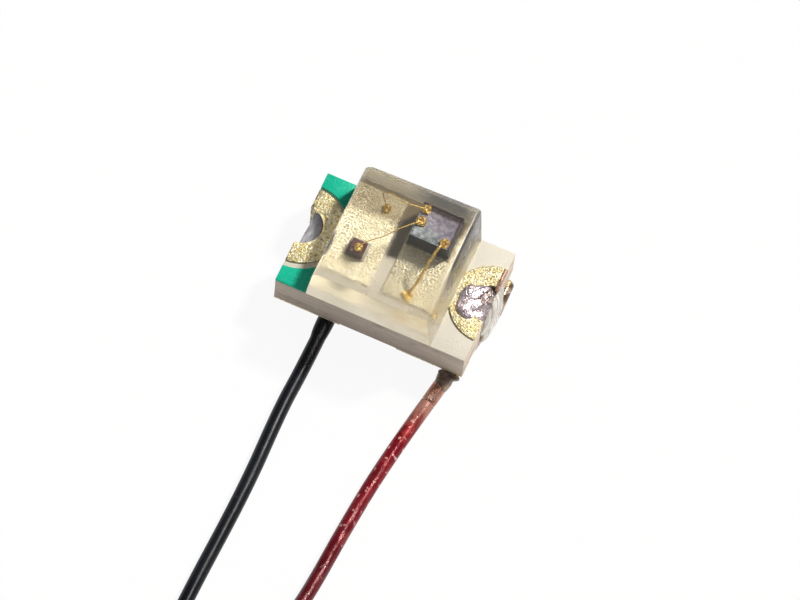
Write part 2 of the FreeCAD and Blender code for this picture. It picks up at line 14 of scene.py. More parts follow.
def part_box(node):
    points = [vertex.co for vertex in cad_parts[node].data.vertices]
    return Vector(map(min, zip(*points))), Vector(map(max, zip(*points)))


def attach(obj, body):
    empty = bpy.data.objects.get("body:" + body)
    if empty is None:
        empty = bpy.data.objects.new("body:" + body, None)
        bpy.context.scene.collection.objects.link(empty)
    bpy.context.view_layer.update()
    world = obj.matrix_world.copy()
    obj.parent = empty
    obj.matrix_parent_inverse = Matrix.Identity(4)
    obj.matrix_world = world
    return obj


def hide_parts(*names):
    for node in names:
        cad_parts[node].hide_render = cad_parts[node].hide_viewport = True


bl_info = {
    "name": "Chip LED looks",
    "version": (1, 0, 0),
    "blender": (4, 5, 0),
    "location": "View3D > Sidebar > Chip LED",
    "description": "Finish, solder, wires and stage of a clear chip LED",
    "category": "Object",
}

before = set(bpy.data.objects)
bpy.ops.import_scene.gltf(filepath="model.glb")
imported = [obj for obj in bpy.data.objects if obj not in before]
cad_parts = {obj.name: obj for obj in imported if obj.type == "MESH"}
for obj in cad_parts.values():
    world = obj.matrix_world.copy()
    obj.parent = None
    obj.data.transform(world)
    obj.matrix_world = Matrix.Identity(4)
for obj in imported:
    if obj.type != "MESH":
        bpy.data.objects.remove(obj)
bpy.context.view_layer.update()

MM = 0.001


def box_mm(node):
    """Lowest and highest corner of a node, in millimetres."""
    low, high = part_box(node)
    return low / MM, high / MM


BOARD_LOW, BOARD_HIGH = box_mm("substrate")
LENS_LOW, LENS_HIGH = box_mm("epoxy_lens")
CHIP_LOW, CHIP_HIGH = box_mm("driver_chip")
LED_LOW, LED_HIGH = box_mm("led_die")
FOIL_TOP = box_mm("cathode_pad")[1].z
NOTCH_Y = 0.025
NOTCH_RADIUS = 0.20
STUB_SHIFT = Vector((-0.05, 0.0, 0.012))
STUB_LENGTH = 0.36
STUB_TAPER = 0.80
LENS_LEAN = 0.045
LENS_NARROWING = 0.12
CAP_FALL = 0.24
CAP_FALL_START = 0.76

# The camera's place round the part, as the photograph shows it
CAMERA_AZIMUTH = 17.2625
CAMERA_ELEVATION = 66.2343
CAMERA_ROLL = 7.2184
CAMERA_DISTANCE = 60.0
CAMERA_TARGET = Vector((0.0, 0.0, 0.02))
PICTURE_WIDTH = 800
PIXELS_PER_MM = 102.3565
CENTRE_OFFSET = (7.234, -10.166)
SENSOR_WIDTH = 36.0

LIGHT_WAY = Vector((0.44, 0.60, 1.0))

# Routes of the wires from the board to their coils, in metres
BLACK_ROUTE = [
    (-0.000445, -0.00046, 0.000075),
    (-0.000445, -0.00115, 0.000075),
    (-0.000470, -0.00162, 0.000075),
    (-0.000432, -0.00255, 0.000075),
    (-0.000484, -0.00390, 0.000075),
    (-0.000450, -0.00475, 0.000075),
    (-0.000455, -0.00550, 0.000075),
]
RED_ROUTE = [
    (0.0007966, -0.00098, 0.000075),
    (0.0006798, -0.00166, 0.000075),
    (0.0006030, -0.00245, 0.000077),
    (0.0005560, -0.00335, 0.000090),
    (0.0004700, -0.00395, 0.000290),
    (0.0002650, -0.00445, 0.000540),
    (-0.0000600, -0.00486, 0.000560),
]
COIL_X = 1.36
COIL_Y = -5.95
COIL_COLUMNS = 8
COIL_INNER = 0.70
COIL_LAYER = 0.45
COIL_TURNS = 24
POINTS_PER_TURN = 16

# How far the tie's grip reaches along the turns, and how it draws them in and down
TIE_REACH = 0.30
TIE_PULL_IN = 0.08
TIE_PULL_DOWN = 0.11
UNEVENNESS = 0.012


def screen(red, green, blue):
    """A colour given as it looks on a screen, 0 to 255, as linear values."""
    def linear(part):
        share = part / 255
        return share / 12.92 if share <= 0.04045 else ((share + 0.055) / 1.055) ** 2.4
    return (linear(red), linear(green), linear(blue))


def tint(name, default, about):
    return FloatVectorProperty(name=name, description=about, subtype="COLOR", size=3, min=0.0, max=1.0,
                               default=default)


class LedSizes(PropertyGroup):
    """Sizes that the looks can change without touching the frame."""
    wire: FloatProperty(name="Wire", description="Diameter of the enamelled wires", default=0.15 * MM,
                        unit="LENGTH", precision=6)
    bond: FloatProperty(name="Bond wire", description="Diameter of the fine gold wires", default=0.011 * MM,
                        unit="LENGTH", precision=6)
    supply_bond: FloatProperty(name="Supply bond", description="Diameter of the gold wire to the anode pad",
                               default=0.028 * MM, unit="LENGTH", precision=6)
    light_spread: FloatProperty(name="Light spread", default=math.radians(7), unit="ROTATION",
                                description="How wide the main light looks from the part")


class LedColours(PropertyGroup):
    """Colours of the part's finishes."""
    laminate: tint("Laminate", screen(232, 224, 206), "Printed face of the board")
    laminate_side: tint("Laminate edge", screen(236, 220, 202), "Sawn edge of the board")
    film: tint("Film", screen(14, 198, 160), "Green film on the cathode end")
    gold: tint("Gold", screen(252, 232, 160), "Plated foil")
    wire_gold: tint("Bond gold", screen(234, 194, 108), "Drawn gold of the bonds")
    solder: tint("Solder", screen(228, 222, 226), "Solder")
    copper: tint("Copper", screen(196, 138, 118), "Bare copper")
    black: tint("Black enamel", screen(19, 23, 30), "Enamel of the black wire")
    red: tint("Red enamel", screen(150, 16, 34), "Enamel of the red wire")
    silicon: tint("Silicon", screen(146, 136, 158), "Polished face of the driver chip")
    crystal: tint("Emitter", screen(122, 66, 52), "Light-emitting die")
    paper: tint("Paper", screen(226, 220, 204), "Tie round the coils")


def add(tree, kind, inputs=None, **settings):
    """A node with its settings and its inputs, each a value or another node's socket."""
    made = tree.nodes.new(kind)
    for name, setting in settings.items():
        setattr(made, name, setting)
    for name, given in (inputs or {}).items():
        if isinstance(given, bpy.types.NodeSocket):
            tree.links.new(given, made.inputs[name])
        else:
            made.inputs[name].default_value = given
    return made


def blend(tree, share, first, second):
    """A colour between two, each a linear colour or a socket."""
    first, second = (given if isinstance(given, bpy.types.NodeSocket) else (*given, 1)
                     for given in (first, second))
    return add(tree, "ShaderNodeMix", {0: share, 6: first, 7: second}, data_type="RGBA").outputs[2]


def sum_up(tree, first, second, operation="ADD"):
    """What an operation makes of two values, each a number or a socket."""
    return add(tree, "ShaderNodeMath", {0: first, 1: second}, operation=operation).outputs[0]


def new_group(name, inputs, outputs):
    """An empty effect with named sockets: its tree, its input node and its output node."""
    group = bpy.data.node_groups.new(name, "ShaderNodeTree")
    for label, kind, default in inputs:
        socket = group.interface.new_socket(name=label, in_out="INPUT", socket_type=kind)
        if default is not None:
            socket.default_value = default
    for label, kind in outputs:
        group.interface.new_socket(name=label, in_out="OUTPUT", socket_type=kind)
    return group, group.nodes.new("NodeGroupInput"), group.nodes.new("NodeGroupOutput")


def grain_group():
    """Soft cloudy grain, from 0 to 1 between two levels of the noise."""
    group, enter, leave = new_group(
        "Grain",
        [("Vector", "NodeSocketVector", None), ("Scale", "NodeSocketFloat", 5.0),
         ("Detail", "NodeSocketFloat", 3.0), ("Low", "NodeSocketFloat", 0.35),
         ("High", "NodeSocketFloat", 0.65)],
        [("Mask", "NodeSocketFloat")])
    cloud = add(group, "ShaderNodeTexNoise", {"Vector": enter.outputs["Vector"],
                                              "Scale": enter.outputs["Scale"],
                                              "Detail": enter.outputs["Detail"]})
    ramp = add(group, "ShaderNodeMapRange", {"Value": cloud.outputs[0], "From Min": enter.outputs["Low"],
                                             "From Max": enter.outputs["High"]})
    group.links.new(ramp.outputs[0], leave.inputs["Mask"])
    return group


def fleck_group():
    """Small cells, each with its own brightness, and the lines between them."""
    group, enter, leave = new_group(
        "Flecks",
        [("Vector", "NodeSocketVector", None), ("Scale", "NodeSocketFloat", 30.0),
         ("Line", "NodeSocketFloat", 0.06)],
        [("Mask", "NodeSocketFloat"), ("Other", "NodeSocketFloat"), ("Lines", "NodeSocketFloat")])
    place = {"Vector": enter.outputs["Vector"], "Scale": enter.outputs["Scale"]}
    cells = add(group, "ShaderNodeTexVoronoi", place)
    edges = add(group, "ShaderNodeTexVoronoi", place, feature="DISTANCE_TO_EDGE")
    parts = add(group, "ShaderNodeSeparateColor", {"Color": cells.outputs["Color"]})
    line = add(group, "ShaderNodeMapRange", {"Value": edges.outputs["Distance"], "To Min": 1.0,
                                             "From Max": enter.outputs["Line"], "To Max": 0.0})
    group.links.new(parts.outputs[0], leave.inputs["Mask"])
    group.links.new(parts.outputs[1], leave.inputs["Other"])
    group.links.new(line.outputs[0], leave.inputs["Lines"])
    return group


def reach_group():
    """A mask that rises from 0 to 1 between two values along one axis."""
    group, enter, leave = new_group(
        "Reach",
        [("Vector", "NodeSocketVector", None), ("Axis", "NodeSocketVector", None),
         ("From", "NodeSocketFloat", 0.0), ("To", "NodeSocketFloat", 1.0)],
        [("Mask", "NodeSocketFloat")])
    along = add(group, "ShaderNodeVectorMath", {0: enter.outputs["Vector"], 1: enter.outputs["Axis"]},
                operation="DOT_PRODUCT")
    ramp = add(group, "ShaderNodeMapRange", {"Value": along.outputs["Value"],
                                             "From Min": enter.outputs["From"],
                                             "From Max": enter.outputs["To"]})
    group.links.new(ramp.outputs[0], leave.inputs["Mask"])
    return group


EFFECTS = {}


def effect(tree, name, inputs):
    """An effect placed in a material with its own values."""
    if name not in EFFECTS:
        EFFECTS[name] = {"Grain": grain_group, "Flecks": fleck_group, "Reach": reach_group}[name]()
    return add(tree, "ShaderNodeGroup", inputs, node_tree=EFFECTS[name])


def start_material(name, **plain):
    """A material with one main shader, its tree, and object coordinates in millimetres."""
    material = bpy.data.materials.new(name)
    material.use_nodes = True
    tree = material.node_tree
    tree.nodes.clear()
    shader = add(tree, "ShaderNodeBsdfPrincipled", {key.replace("_", " "): v for key, v in plain.items()})
    add(tree, "ShaderNodeOutputMaterial", {"Surface": shader.outputs[0]})
    coords = add(tree, "ShaderNodeTexCoord")
    place = add(tree, "ShaderNodeMapping", {"Vector": coords.outputs["Object"], "Scale": (1 / MM,) * 3})
    return material, tree, shader, place.outputs[0]


def stretched(tree, vector, scale):
    """Coordinates pressed together or drawn out along the axes."""
    return add(tree, "ShaderNodeMapping", {"Vector": vector, "Scale": scale}).outputs[0]


def raise_surface(tree, shader, height, depth, strength=1.0):
    """A bump of a depth in millimetres."""
    bump = add(tree, "ShaderNodeBump", {"Height": height, "Distance": depth * MM, "Strength": strength})
    tree.links.new(bump.outputs[0], shader.inputs["Normal"])


def feed(tree, shader, **sockets):
    for name, socket in sockets.items():
        tree.links.new(socket, shader.inputs[name.replace("_", " ")])


def scaled(colour, share):
    return tuple(part * share for part in colour)


def laminate_face(colours):
    """The board's pale upper and lower faces, with a faint weave and a few brown specks."""
    material, tree, shader, place = start_material("laminate_face", Roughness=0.55)
    cloud = effect(tree, "Grain", {"Vector": place, "Scale": 3.0, "Detail": 4.0})
    weave = effect(tree, "Grain", {"Vector": place, "Scale": 42.0, "Detail": 2.0})
    specks = effect(tree, "Grain", {"Vector": place, "Scale": 16.0, "Low": 0.66, "High": 0.74})
    base = blend(tree, cloud.outputs[0], scaled(colours.laminate, 0.90), colours.laminate)
    worn = blend(tree, sum_up(tree, specks.outputs[0], 0.35, "MULTIPLY"), base, screen(150, 126, 100))
    feed(tree, shader, Base_Color=worn)
    raise_surface(tree, shader, weave.outputs[0], 0.002, 0.5)
    return material


def laminate_edge(colours):
    """The board's sawn edge: glass layers as uneven lines along it, chipped and stained in places."""
    material, tree, shader, place = start_material("laminate_edge", Roughness=0.7)
    along = stretched(tree, place, (1.6, 1.6, 26.0))
    layers = effect(tree, "Grain", {"Vector": along, "Scale": 1.0, "Detail": 3.0, "Low": 0.38,
                                    "High": 0.62})
    threads = effect(tree, "Grain", {"Vector": stretched(tree, place, (9.0, 9.0, 60.0)), "Scale": 1.0})
    brown_blotches = effect(tree, "Grain", {"Vector": place, "Scale": 5.0, "Detail": 5.0, "Low": 0.58, "High": 0.72})
    # Painted shade: the lower part of the edge is darkened towards the bottom.
    low = effect(tree, "Reach", {"Vector": place, "Axis": (0, 0, 1), "From": BOARD_LOW.z + 0.26,
                                 "To": BOARD_LOW.z})
    base = blend(tree, layers.outputs[0], scaled(colours.laminate_side, 0.86), colours.laminate_side)
    fibre = blend(tree, sum_up(tree, threads.outputs[0], 0.2, "MULTIPLY"), base, screen(196, 172, 154))
    dark = blend(tree, sum_up(tree, low.outputs[0], 0.35, "MULTIPLY"), fibre, screen(172, 148, 132))
    worn = blend(tree, sum_up(tree, brown_blotches.outputs[0], 0.35, "MULTIPLY"), dark, screen(128, 104, 84))
    feed(tree, shader, Base_Color=worn)
    raise_surface(tree, shader, layers.outputs[0], 0.004, 0.8)
    return material


def green_film(colours):
    material, tree, shader, place = start_material("green_film", Roughness=0.36, Specular_IOR_Level=0.25)
    cloud = effect(tree, "Grain", {"Vector": place, "Scale": 4.0, "Detail": 4.0})
    dust = effect(tree, "Grain", {"Vector": place, "Scale": 38.0, "Detail": 2.0, "Low": 0.45, "High": 0.75})
    base = blend(tree, cloud.outputs[0], scaled(colours.film, 0.86), colours.film)
    pale = blend(tree, sum_up(tree, dust.outputs[0], 0.16, "MULTIPLY"), base, screen(120, 224, 196))
    feed(tree, shader, Base_Color=pale)
    raise_surface(tree, shader, dust.outputs[0], 0.003, 0.6)
    return material


def plated_foil(colours):
    """Gold on etched copper: bright grains, dark pits outside the lens and a tarnished left end."""
    material, tree, shader, place = start_material("plated_foil", Metallic=0.6)
    flecks = effect(tree, "Flecks", {"Vector": place, "Scale": 34.0})
    fine = effect(tree, "Grain", {"Vector": place, "Scale": 44.0, "Detail": 3.0, "Low": 0.3, "High": 0.7})
    wide = effect(tree, "Grain", {"Vector": place, "Scale": 7.0, "Low": 0.4, "High": 0.7})
    right = effect(tree, "Reach", {"Vector": place, "Axis": (1, 0, 0), "From": LENS_HIGH.x - 0.03,
                                   "To": LENS_HIGH.x + 0.03})
    left = effect(tree, "Reach", {"Vector": place, "Axis": (-1, 0, 0), "From": -LENS_LOW.x - 0.03,
                                  "To": 0.03 - LENS_LOW.x})
    bare = sum_up(tree, left.outputs[0], right.outputs[0])
    warm = blend(tree, flecks.outputs["Mask"], colours.gold, screen(222, 196, 132))
    pale = blend(tree, flecks.outputs["Other"], warm, screen(255, 246, 212))
    washed = blend(tree, bare, blend(tree, 0.65, pale, screen(250, 242, 216)), pale)
    dull = blend(tree, sum_up(tree, wide.outputs[0], 0.3, "MULTIPLY"), washed, screen(200, 184, 138))
    pits = effect(tree, "Grain", {"Vector": place, "Scale": 34.0, "Low": 0.55, "High": 0.66})
    depth = add(tree, "ShaderNodeMapRange", {"Value": bare, "To Min": 0.14, "To Max": 0.58})
    pitted = sum_up(tree, pits.outputs[0], depth.outputs[0], "MULTIPLY")
    dark = blend(tree, pitted, dull, screen(104, 84, 46))
    tarnish = effect(tree, "Grain", {"Vector": place, "Scale": 15.0, "Detail": 3.0, "Low": 0.44,
                                     "High": 0.58})
    rim = effect(tree, "Reach", {"Vector": place, "Axis": (-1, 0, 0), "From": 0.95, "To": 1.0})
    tarnish_and_shade = sum_up(tree, tarnish.outputs[0], rim.outputs[0], "MULTIPLY")
    edged = blend(tree, tarnish_and_shade, dark, screen(58, 38, 28))
    rough = add(tree, "ShaderNodeMapRange", {"Value": fine.outputs[0], "To Min": 0.26, "To Max": 0.48})
    feed(tree, shader, Base_Color=edged, Roughness=rough.outputs[0])
    height = sum_up(tree, flecks.outputs["Mask"], fine.outputs[0])
    raise_surface(tree, shader, height, 0.008, 0.9)
    return material


def bare_copper(colours):
    material, tree, shader, place = start_material("bare_copper", Metallic=0.9)
    streaks = effect(tree, "Grain", {"Vector": stretched(tree, place, (40.0, 6.0, 40.0)), "Scale": 1.0})
    tin = effect(tree, "Grain", {"Vector": place, "Scale": 9.0, "Low": 0.48, "High": 0.6})
    base = blend(tree, streaks.outputs[0], scaled(colours.copper, 0.55), colours.copper)
    coated = blend(tree, sum_up(tree, tin.outputs[0], 0.5, "MULTIPLY"), base, screen(206, 176, 160))
    rough = add(tree, "ShaderNodeMapRange", {"Value": streaks.outputs[0], "To Min": 0.25, "To Max": 0.5})
    feed(tree, shader, Base_Color=coated, Roughness=rough.outputs[0])
    raise_surface(tree, shader, streaks.outputs[0], 0.003)
    return material


def notch_solder():
    """Solder that drained through the notch: dark grey deepened with painted shade of the notch, and a
    painted highlight streaking down its hollow.
    """
    material, tree, shader, place = start_material("notch_solder", Metallic=0.6)
    drawn = stretched(tree, place, (9.0, 9.0, 2.5))
    streaks = effect(tree, "Grain", {"Vector": drawn, "Scale": 1.0, "Detail": 4.0, "Low": 0.36,
                                     "High": 0.64})
    low = effect(tree, "Reach", {"Vector": place, "Axis": (-0.55, -0.55, -0.6), "From": 0.16, "To": 0.27})
    past = effect(tree, "Reach", {"Vector": place, "Axis": (-0.55, -0.55, -0.6), "From": 0.46, "To": 0.36})
    # Dull grey solder, darkened further as painted shade of the notch.
    base = blend(tree, streaks.outputs[0], screen(22, 22, 26), screen(104, 98, 102))
    # Painted highlight: a pale streak down the middle of the hollow.
    hollow = sum_up(tree, low.outputs[0], past.outputs[0], "MULTIPLY")
    band = sum_up(tree, hollow, streaks.outputs[0], "MULTIPLY")
    pale = blend(tree, band, base, screen(226, 220, 222))
    rough = add(tree, "ShaderNodeMapRange", {"Value": streaks.outputs[0], "To Min": 0.25, "To Max": 0.45})
    feed(tree, shader, Base_Color=pale, Roughness=rough.outputs[0])
    raise_surface(tree, shader, streaks.outputs[0], 0.006)
    return material


def solder_skin(colours):
    """Solder that froze in wrinkles: bright facets, thin dark cracks and dull grey pools, with painted
    shade over the part towards the notch.
    """
    material, tree, shader, place = start_material("solder_skin", Metallic=0.7)
    drawn = stretched(tree, place, (1.5, 0.8, 1.0))
    facets = effect(tree, "Flecks", {"Vector": drawn, "Scale": 13.0, "Line": 0.05})
    fine = effect(tree, "Grain", {"Vector": drawn, "Scale": 30.0, "Detail": 4.0})
    pools = effect(tree, "Grain", {"Vector": drawn, "Scale": 6.0, "Detail": 3.0, "Low": 0.42, "High": 0.6})
    pink = blend(tree, facets.outputs["Mask"], colours.solder, screen(224, 200, 200))
    tinted = sum_up(tree, facets.outputs["Other"], 0.35, "MULTIPLY")
    mauve = blend(tree, tinted, pink, screen(176, 160, 190))
    dull = blend(tree, sum_up(tree, pools.outputs[0], 0.35, "MULTIPLY"), mauve, screen(96, 86, 82))
    cracked = blend(tree, sum_up(tree, facets.outputs["Lines"], 0.6, "MULTIPLY"), dull, screen(88, 76, 72))
    # Painted shade: the part of the cap towards the notch is darkened to brown, with one darker tear along
    # its edge.
    across = (0.885, -0.465, 0)
    inner = effect(tree, "Reach", {"Vector": place, "Axis": (0, 1, 0), "From": -0.03, "To": 0.03})
    beyond = effect(tree, "Reach", {"Vector": place, "Axis": across, "From": 0.728, "To": 0.746})
    past = effect(tree, "Reach", {"Vector": place, "Axis": across, "From": 0.768, "To": 0.750})
    shaded = sum_up(tree, sum_up(tree, beyond.outputs[0], inner.outputs[0], "MULTIPLY"), 0.75, "MULTIPLY")
    tear = sum_up(tree, sum_up(tree, shaded, past.outputs[0], "MULTIPLY"), 1.2, "MULTIPLY")
    tarnish_and_shade = blend(tree, shaded, cracked, screen(112, 98, 86))
    torn = blend(tree, tear, tarnish_and_shade, screen(58, 46, 42))
    rough = add(tree, "ShaderNodeMapRange", {"Value": fine.outputs[0], "To Min": 0.24, "To Max": 0.46})
    feed(tree, shader, Base_Color=torn, Roughness=rough.outputs[0])
    height = sum_up(tree, sum_up(tree, facets.outputs["Mask"], fine.outputs[0]), facets.outputs["Lines"],
                    "SUBTRACT")
    raise_surface(tree, shader, height, 0.005, 0.6)
    return material


def solder_curtain():
    """Solder and clear flux that ran down the end face: pale, with streaks down and across."""
    material, tree, shader, place = start_material("solder_curtain", Metallic=0.3, Coat_Weight=0.4)
    turned = add(tree, "ShaderNodeMapping", {"Vector": place, "Rotation": (0.64, 0, 0)}).outputs[0]
    drawn = stretched(tree, turned, (5.0, 24.0, 3.0))
    streaks = effect(tree, "Grain", {"Vector": drawn, "Scale": 1.0, "Detail": 4.0, "Low": 0.36,
                                     "High": 0.62})
    lines = effect(tree, "Grain", {"Vector": drawn, "Scale": 1.3, "Detail": 2.0, "Low": 0.54, "High": 0.62})
    base = blend(tree, streaks.outputs[0], screen(178, 168, 152), screen(240, 236, 226))
    lined = blend(tree, sum_up(tree, lines.outputs[0], 0.5, "MULTIPLY"), base, screen(138, 122, 104))
    rough = add(tree, "ShaderNodeMapRange", {"Value": streaks.outputs[0], "To Min": 0.18, "To Max": 0.36})
    feed(tree, shader, Base_Color=lined, Roughness=rough.outputs[0])
    raise_surface(tree, shader, streaks.outputs[0], 0.004, 0.6)
    return material


def stained_copper():
    """The torn copper edge of the foil, dulled to a brownish pink."""
    material, tree, shader, place = start_material("stained_copper", Metallic=0.4)
    streaks = effect(tree, "Grain", {"Vector": stretched(tree, place, (30.0, 5.0, 30.0)), "Scale": 1.0})
    spots = effect(tree, "Grain", {"Vector": place, "Scale": 12.0, "Low": 0.56, "High": 0.66})
    base = blend(tree, streaks.outputs[0], screen(136, 98, 82), screen(198, 156, 138))
    dark = blend(tree, sum_up(tree, spots.outputs[0], 0.7, "MULTIPLY"), base, screen(72, 42, 32))
    rough = add(tree, "ShaderNodeMapRange", {"Value": streaks.outputs[0], "To Min": 0.35, "To Max": 0.55})
    feed(tree, shader, Base_Color=dark, Roughness=rough.outputs[0])
    raise_surface(tree, shader, streaks.outputs[0], 0.004)
    return material


def stained_stub(colours):
    """The red wire's cut end: copper turned brown by flux, with thin tin on it in patches."""
    material, tree, shader, place = start_material("stained_stub", Metallic=0.5, Coat_Weight=0.4)
    cloud = effect(tree, "Grain", {"Vector": place, "Scale": 13.0, "Detail": 4.0, "Low": 0.4, "High": 0.6})
    tin = effect(tree, "Grain", {"Vector": place, "Scale": 18.0, "Low": 0.58, "High": 0.66})
    brown = blend(tree, cloud.outputs[0], screen(88, 66, 44), screen(186, 158, 116))
    coated = blend(tree, sum_up(tree, tin.outputs[0], 0.7, "MULTIPLY"), brown, colours.solder)
    rough = add(tree, "ShaderNodeMapRange", {"Value": cloud.outputs[0], "To Min": 0.25, "To Max": 0.45})
    feed(tree, shader, Base_Color=coated, Roughness=rough.outputs[0])
    raise_surface(tree, shader, cloud.outputs[0], 0.006)
    return material


def flux_skin():
    """Burnt flux: dark brown and glossy."""
    material, tree, shader, place = start_material("burnt_flux", Roughness=0.25, Coat_Weight=0.6)
    cloud = effect(tree, "Grain", {"Vector": place, "Scale": 14.0, "Detail": 4.0})
    feed(tree, shader, Base_Color=blend(tree, cloud.outputs[0], screen(72, 50, 38), screen(168, 138, 114)))
    raise_surface(tree, shader, cloud.outputs[0], 0.006)
    return material


def black_enamel(colours):
    material, tree, shader, place = start_material("black_enamel", Specular_IOR_Level=0.24)
    waves = effect(tree, "Grain", {"Vector": stretched(tree, place, (7.0, 1.5, 7.0)), "Scale": 1.0})
    dust = effect(tree, "Grain", {"Vector": place, "Scale": 26.0, "Low": 0.6, "High": 0.75})
    base = blend(tree, waves.outputs[0], scaled(colours.black, 0.5), colours.black)
    dusty = blend(tree, sum_up(tree, dust.outputs[0], 0.12, "MULTIPLY"), base, screen(90, 92, 104))
    rough = add(tree, "ShaderNodeMapRange", {"Value": waves.outputs[0], "To Min": 0.26, "To Max": 0.42})
    feed(tree, shader, Base_Color=dusty, Roughness=rough.outputs[0])
    raise_surface(tree, shader, waves.outputs[0], 0.004, 0.5)
    return material


def red_enamel(colours):
    """Clear red enamel over copper: deeper where it is thick, with small bubbles painted bright as glints,
    and painted shade darkening it towards the far end.
    """
    material, tree, shader, place = start_material("red_enamel", Metallic=0.15, Specular_IOR_Level=0.35)
    runs = effect(tree, "Grain", {"Vector": stretched(tree, place, (12.0, 4.0, 12.0)), "Scale": 1.0,
                                  "Detail": 4.0, "Low": 0.4, "High": 0.6})
    # Small bubbles; their brightness is a painted glint.
    glinting_bubbles = effect(tree, "Grain", {"Vector": place, "Scale": 15.0, "Detail": 1.0, "Low": 0.64,
                                     "High": 0.7})
    thick = blend(tree, runs.outputs[0], screen(120, 10, 24), colours.red)
    copper = effect(tree, "Grain", {"Vector": place, "Scale": 5.0, "Detail": 4.0, "Low": 0.52,
                                    "High": 0.66})
    warm = blend(tree, sum_up(tree, copper.outputs[0], 0.5, "MULTIPLY"), thick, screen(204, 84, 70))
    bright = blend(tree, sum_up(tree, glinting_bubbles.outputs[0], 0.75, "MULTIPLY"), warm, screen(250, 190, 180))
    bare = effect(tree, "Reach", {"Vector": place, "Axis": (0, 1, 0), "From": -1.30, "To": -1.02})
    patchy = sum_up(tree, bare.outputs[0], sum_up(tree, runs.outputs[0], 0.6), "MULTIPLY")
    # Painted shade: the wire darkens towards its far end.
    far_end_reach = effect(tree, "Reach", {"Vector": place, "Axis": (0, -1, 0), "From": 1.5, "To": 3.1})
    shaded_far_end = blend(tree, sum_up(tree, far_end_reach.outputs[0], 0.8, "MULTIPLY"), bright, screen(78, 8, 18))
    stripped = blend(tree, patchy, shaded_far_end, screen(176, 122, 108))
    rough = add(tree, "ShaderNodeMapRange", {"Value": runs.outputs[0], "To Min": 0.24, "To Max": 0.38})
    feed(tree, shader, Base_Color=stripped, Roughness=rough.outputs[0])
    raise_surface(tree, shader, sum_up(tree, runs.outputs[0], glinting_bubbles.outputs[0]), 0.005, 0.7)
    return material


def bond_gold(colours):
    material, tree, shader, place = start_material("bond_gold", Metallic=1.0)
    grain = effect(tree, "Grain", {"Vector": place, "Scale": 40.0, "Detail": 3.0})
    base = blend(tree, grain.outputs[0], scaled(colours.wire_gold, 0.6), colours.wire_gold)
    rough = add(tree, "ShaderNodeMapRange", {"Value": grain.outputs[0], "To Min": 0.22, "To Max": 0.42})
    feed(tree, shader, Base_Color=base, Roughness=rough.outputs[0])
    raise_surface(tree, shader, grain.outputs[0], 0.004)
    return material


def silicon_face(colours):
    """The chip's worked face: violet oxide with fine circuit blocks and a blue-grey patch in one corner."""
    material, tree, shader, place = start_material("silicon_face", Roughness=0.5)
    blocks = add(tree, "ShaderNodeTexBrick", {"Vector": place, "Scale": 14.0, "Mortar Size": 0.03,
                                             "Color1": (*colours.silicon, 1),
                                             "Color2": (*scaled(colours.silicon, 0.78), 1),
                                             "Mortar": (*scaled(colours.silicon, 1.3), 1)})
    cloud = effect(tree, "Grain", {"Vector": place, "Scale": 9.0, "Detail": 4.0})
    worked = blend(tree, sum_up(tree, cloud.outputs[0], 0.5, "MULTIPLY"), blocks.outputs["Color"],
                   screen(104, 94, 124))
    mottle = effect(tree, "Grain", {"Vector": place, "Scale": 22.0, "Detail": 4.0, "Low": 0.4,
                                    "High": 0.66})
    pale = blend(tree, sum_up(tree, mottle.outputs[0], 0.5, "MULTIPLY"), worked, screen(206, 204, 208))
    corner = effect(tree, "Reach", {"Vector": place, "Axis": (-0.45, -0.89, 0),
                                    "From": -(0.45 * CHIP_LOW.x + 0.89 * CHIP_LOW.y) - 0.24,
                                    "To": -(0.45 * CHIP_LOW.x + 0.89 * CHIP_LOW.y) - 0.16})
    grey = blend(tree, mottle.outputs[0], screen(96, 104, 112), screen(176, 186, 194))
    patch = blend(tree, corner.outputs[0], pale, grey)
    back = effect(tree, "Reach", {"Vector": place, "Axis": (0, 1, 0), "From": CHIP_HIGH.y - 0.035,
                                  "To": CHIP_HIGH.y - 0.015})
    side = effect(tree, "Reach", {"Vector": place, "Axis": (1, 0, 0), "From": CHIP_HIGH.x - 0.035,
                                  "To": CHIP_HIGH.x - 0.015})
    border = sum_up(tree, back.outputs[0], side.outputs[0], "MAXIMUM")
    feed(tree, shader, Base_Color=blend(tree, border, patch, screen(62, 44, 62)))
    raise_surface(tree, shader, mottle.outputs[0], 0.003)
    return material


def silicon_side():
    material, tree, shader, place = start_material("silicon_side", Roughness=0.45, Specular_IOR_Level=0.2)
    saw = effect(tree, "Grain", {"Vector": stretched(tree, place, (4.0, 4.0, 30.0)), "Scale": 1.0})
    feed(tree, shader, Base_Color=blend(tree, saw.outputs[0], screen(16, 14, 11), screen(34, 31, 26)))
    raise_surface(tree, shader, saw.outputs[0], 0.002)
    return material


def emitter_crystal(colours):
    material, tree, shader, place = start_material("emitter_crystal", Roughness=0.35, Coat_Weight=0.5)
    cloud = effect(tree, "Grain", {"Vector": place, "Scale": 16.0, "Detail": 3.0})
    edge = effect(tree, "Reach", {"Vector": place, "Axis": (0, 0, 1), "From": LED_HIGH.z - 0.03,
                                  "To": LED_HIGH.z})
    dark = blend(tree, cloud.outputs[0], scaled(colours.crystal, 0.5), colours.crystal)
    feed(tree, shader, Base_Color=blend(tree, edge.outputs[0], scaled(colours.crystal, 0.45), dark))
    raise_surface(tree, shader, cloud.outputs[0], 0.002)
    return material


def die_glue():
    material, tree, shader, place = start_material("die_glue", Roughness=0.5)
    cloud = effect(tree, "Grain", {"Vector": place, "Scale": 20.0})
    base = blend(tree, cloud.outputs[0], screen(168, 156, 136), screen(206, 196, 178))
    feed(tree, shader, Base_Color=base)
    return material


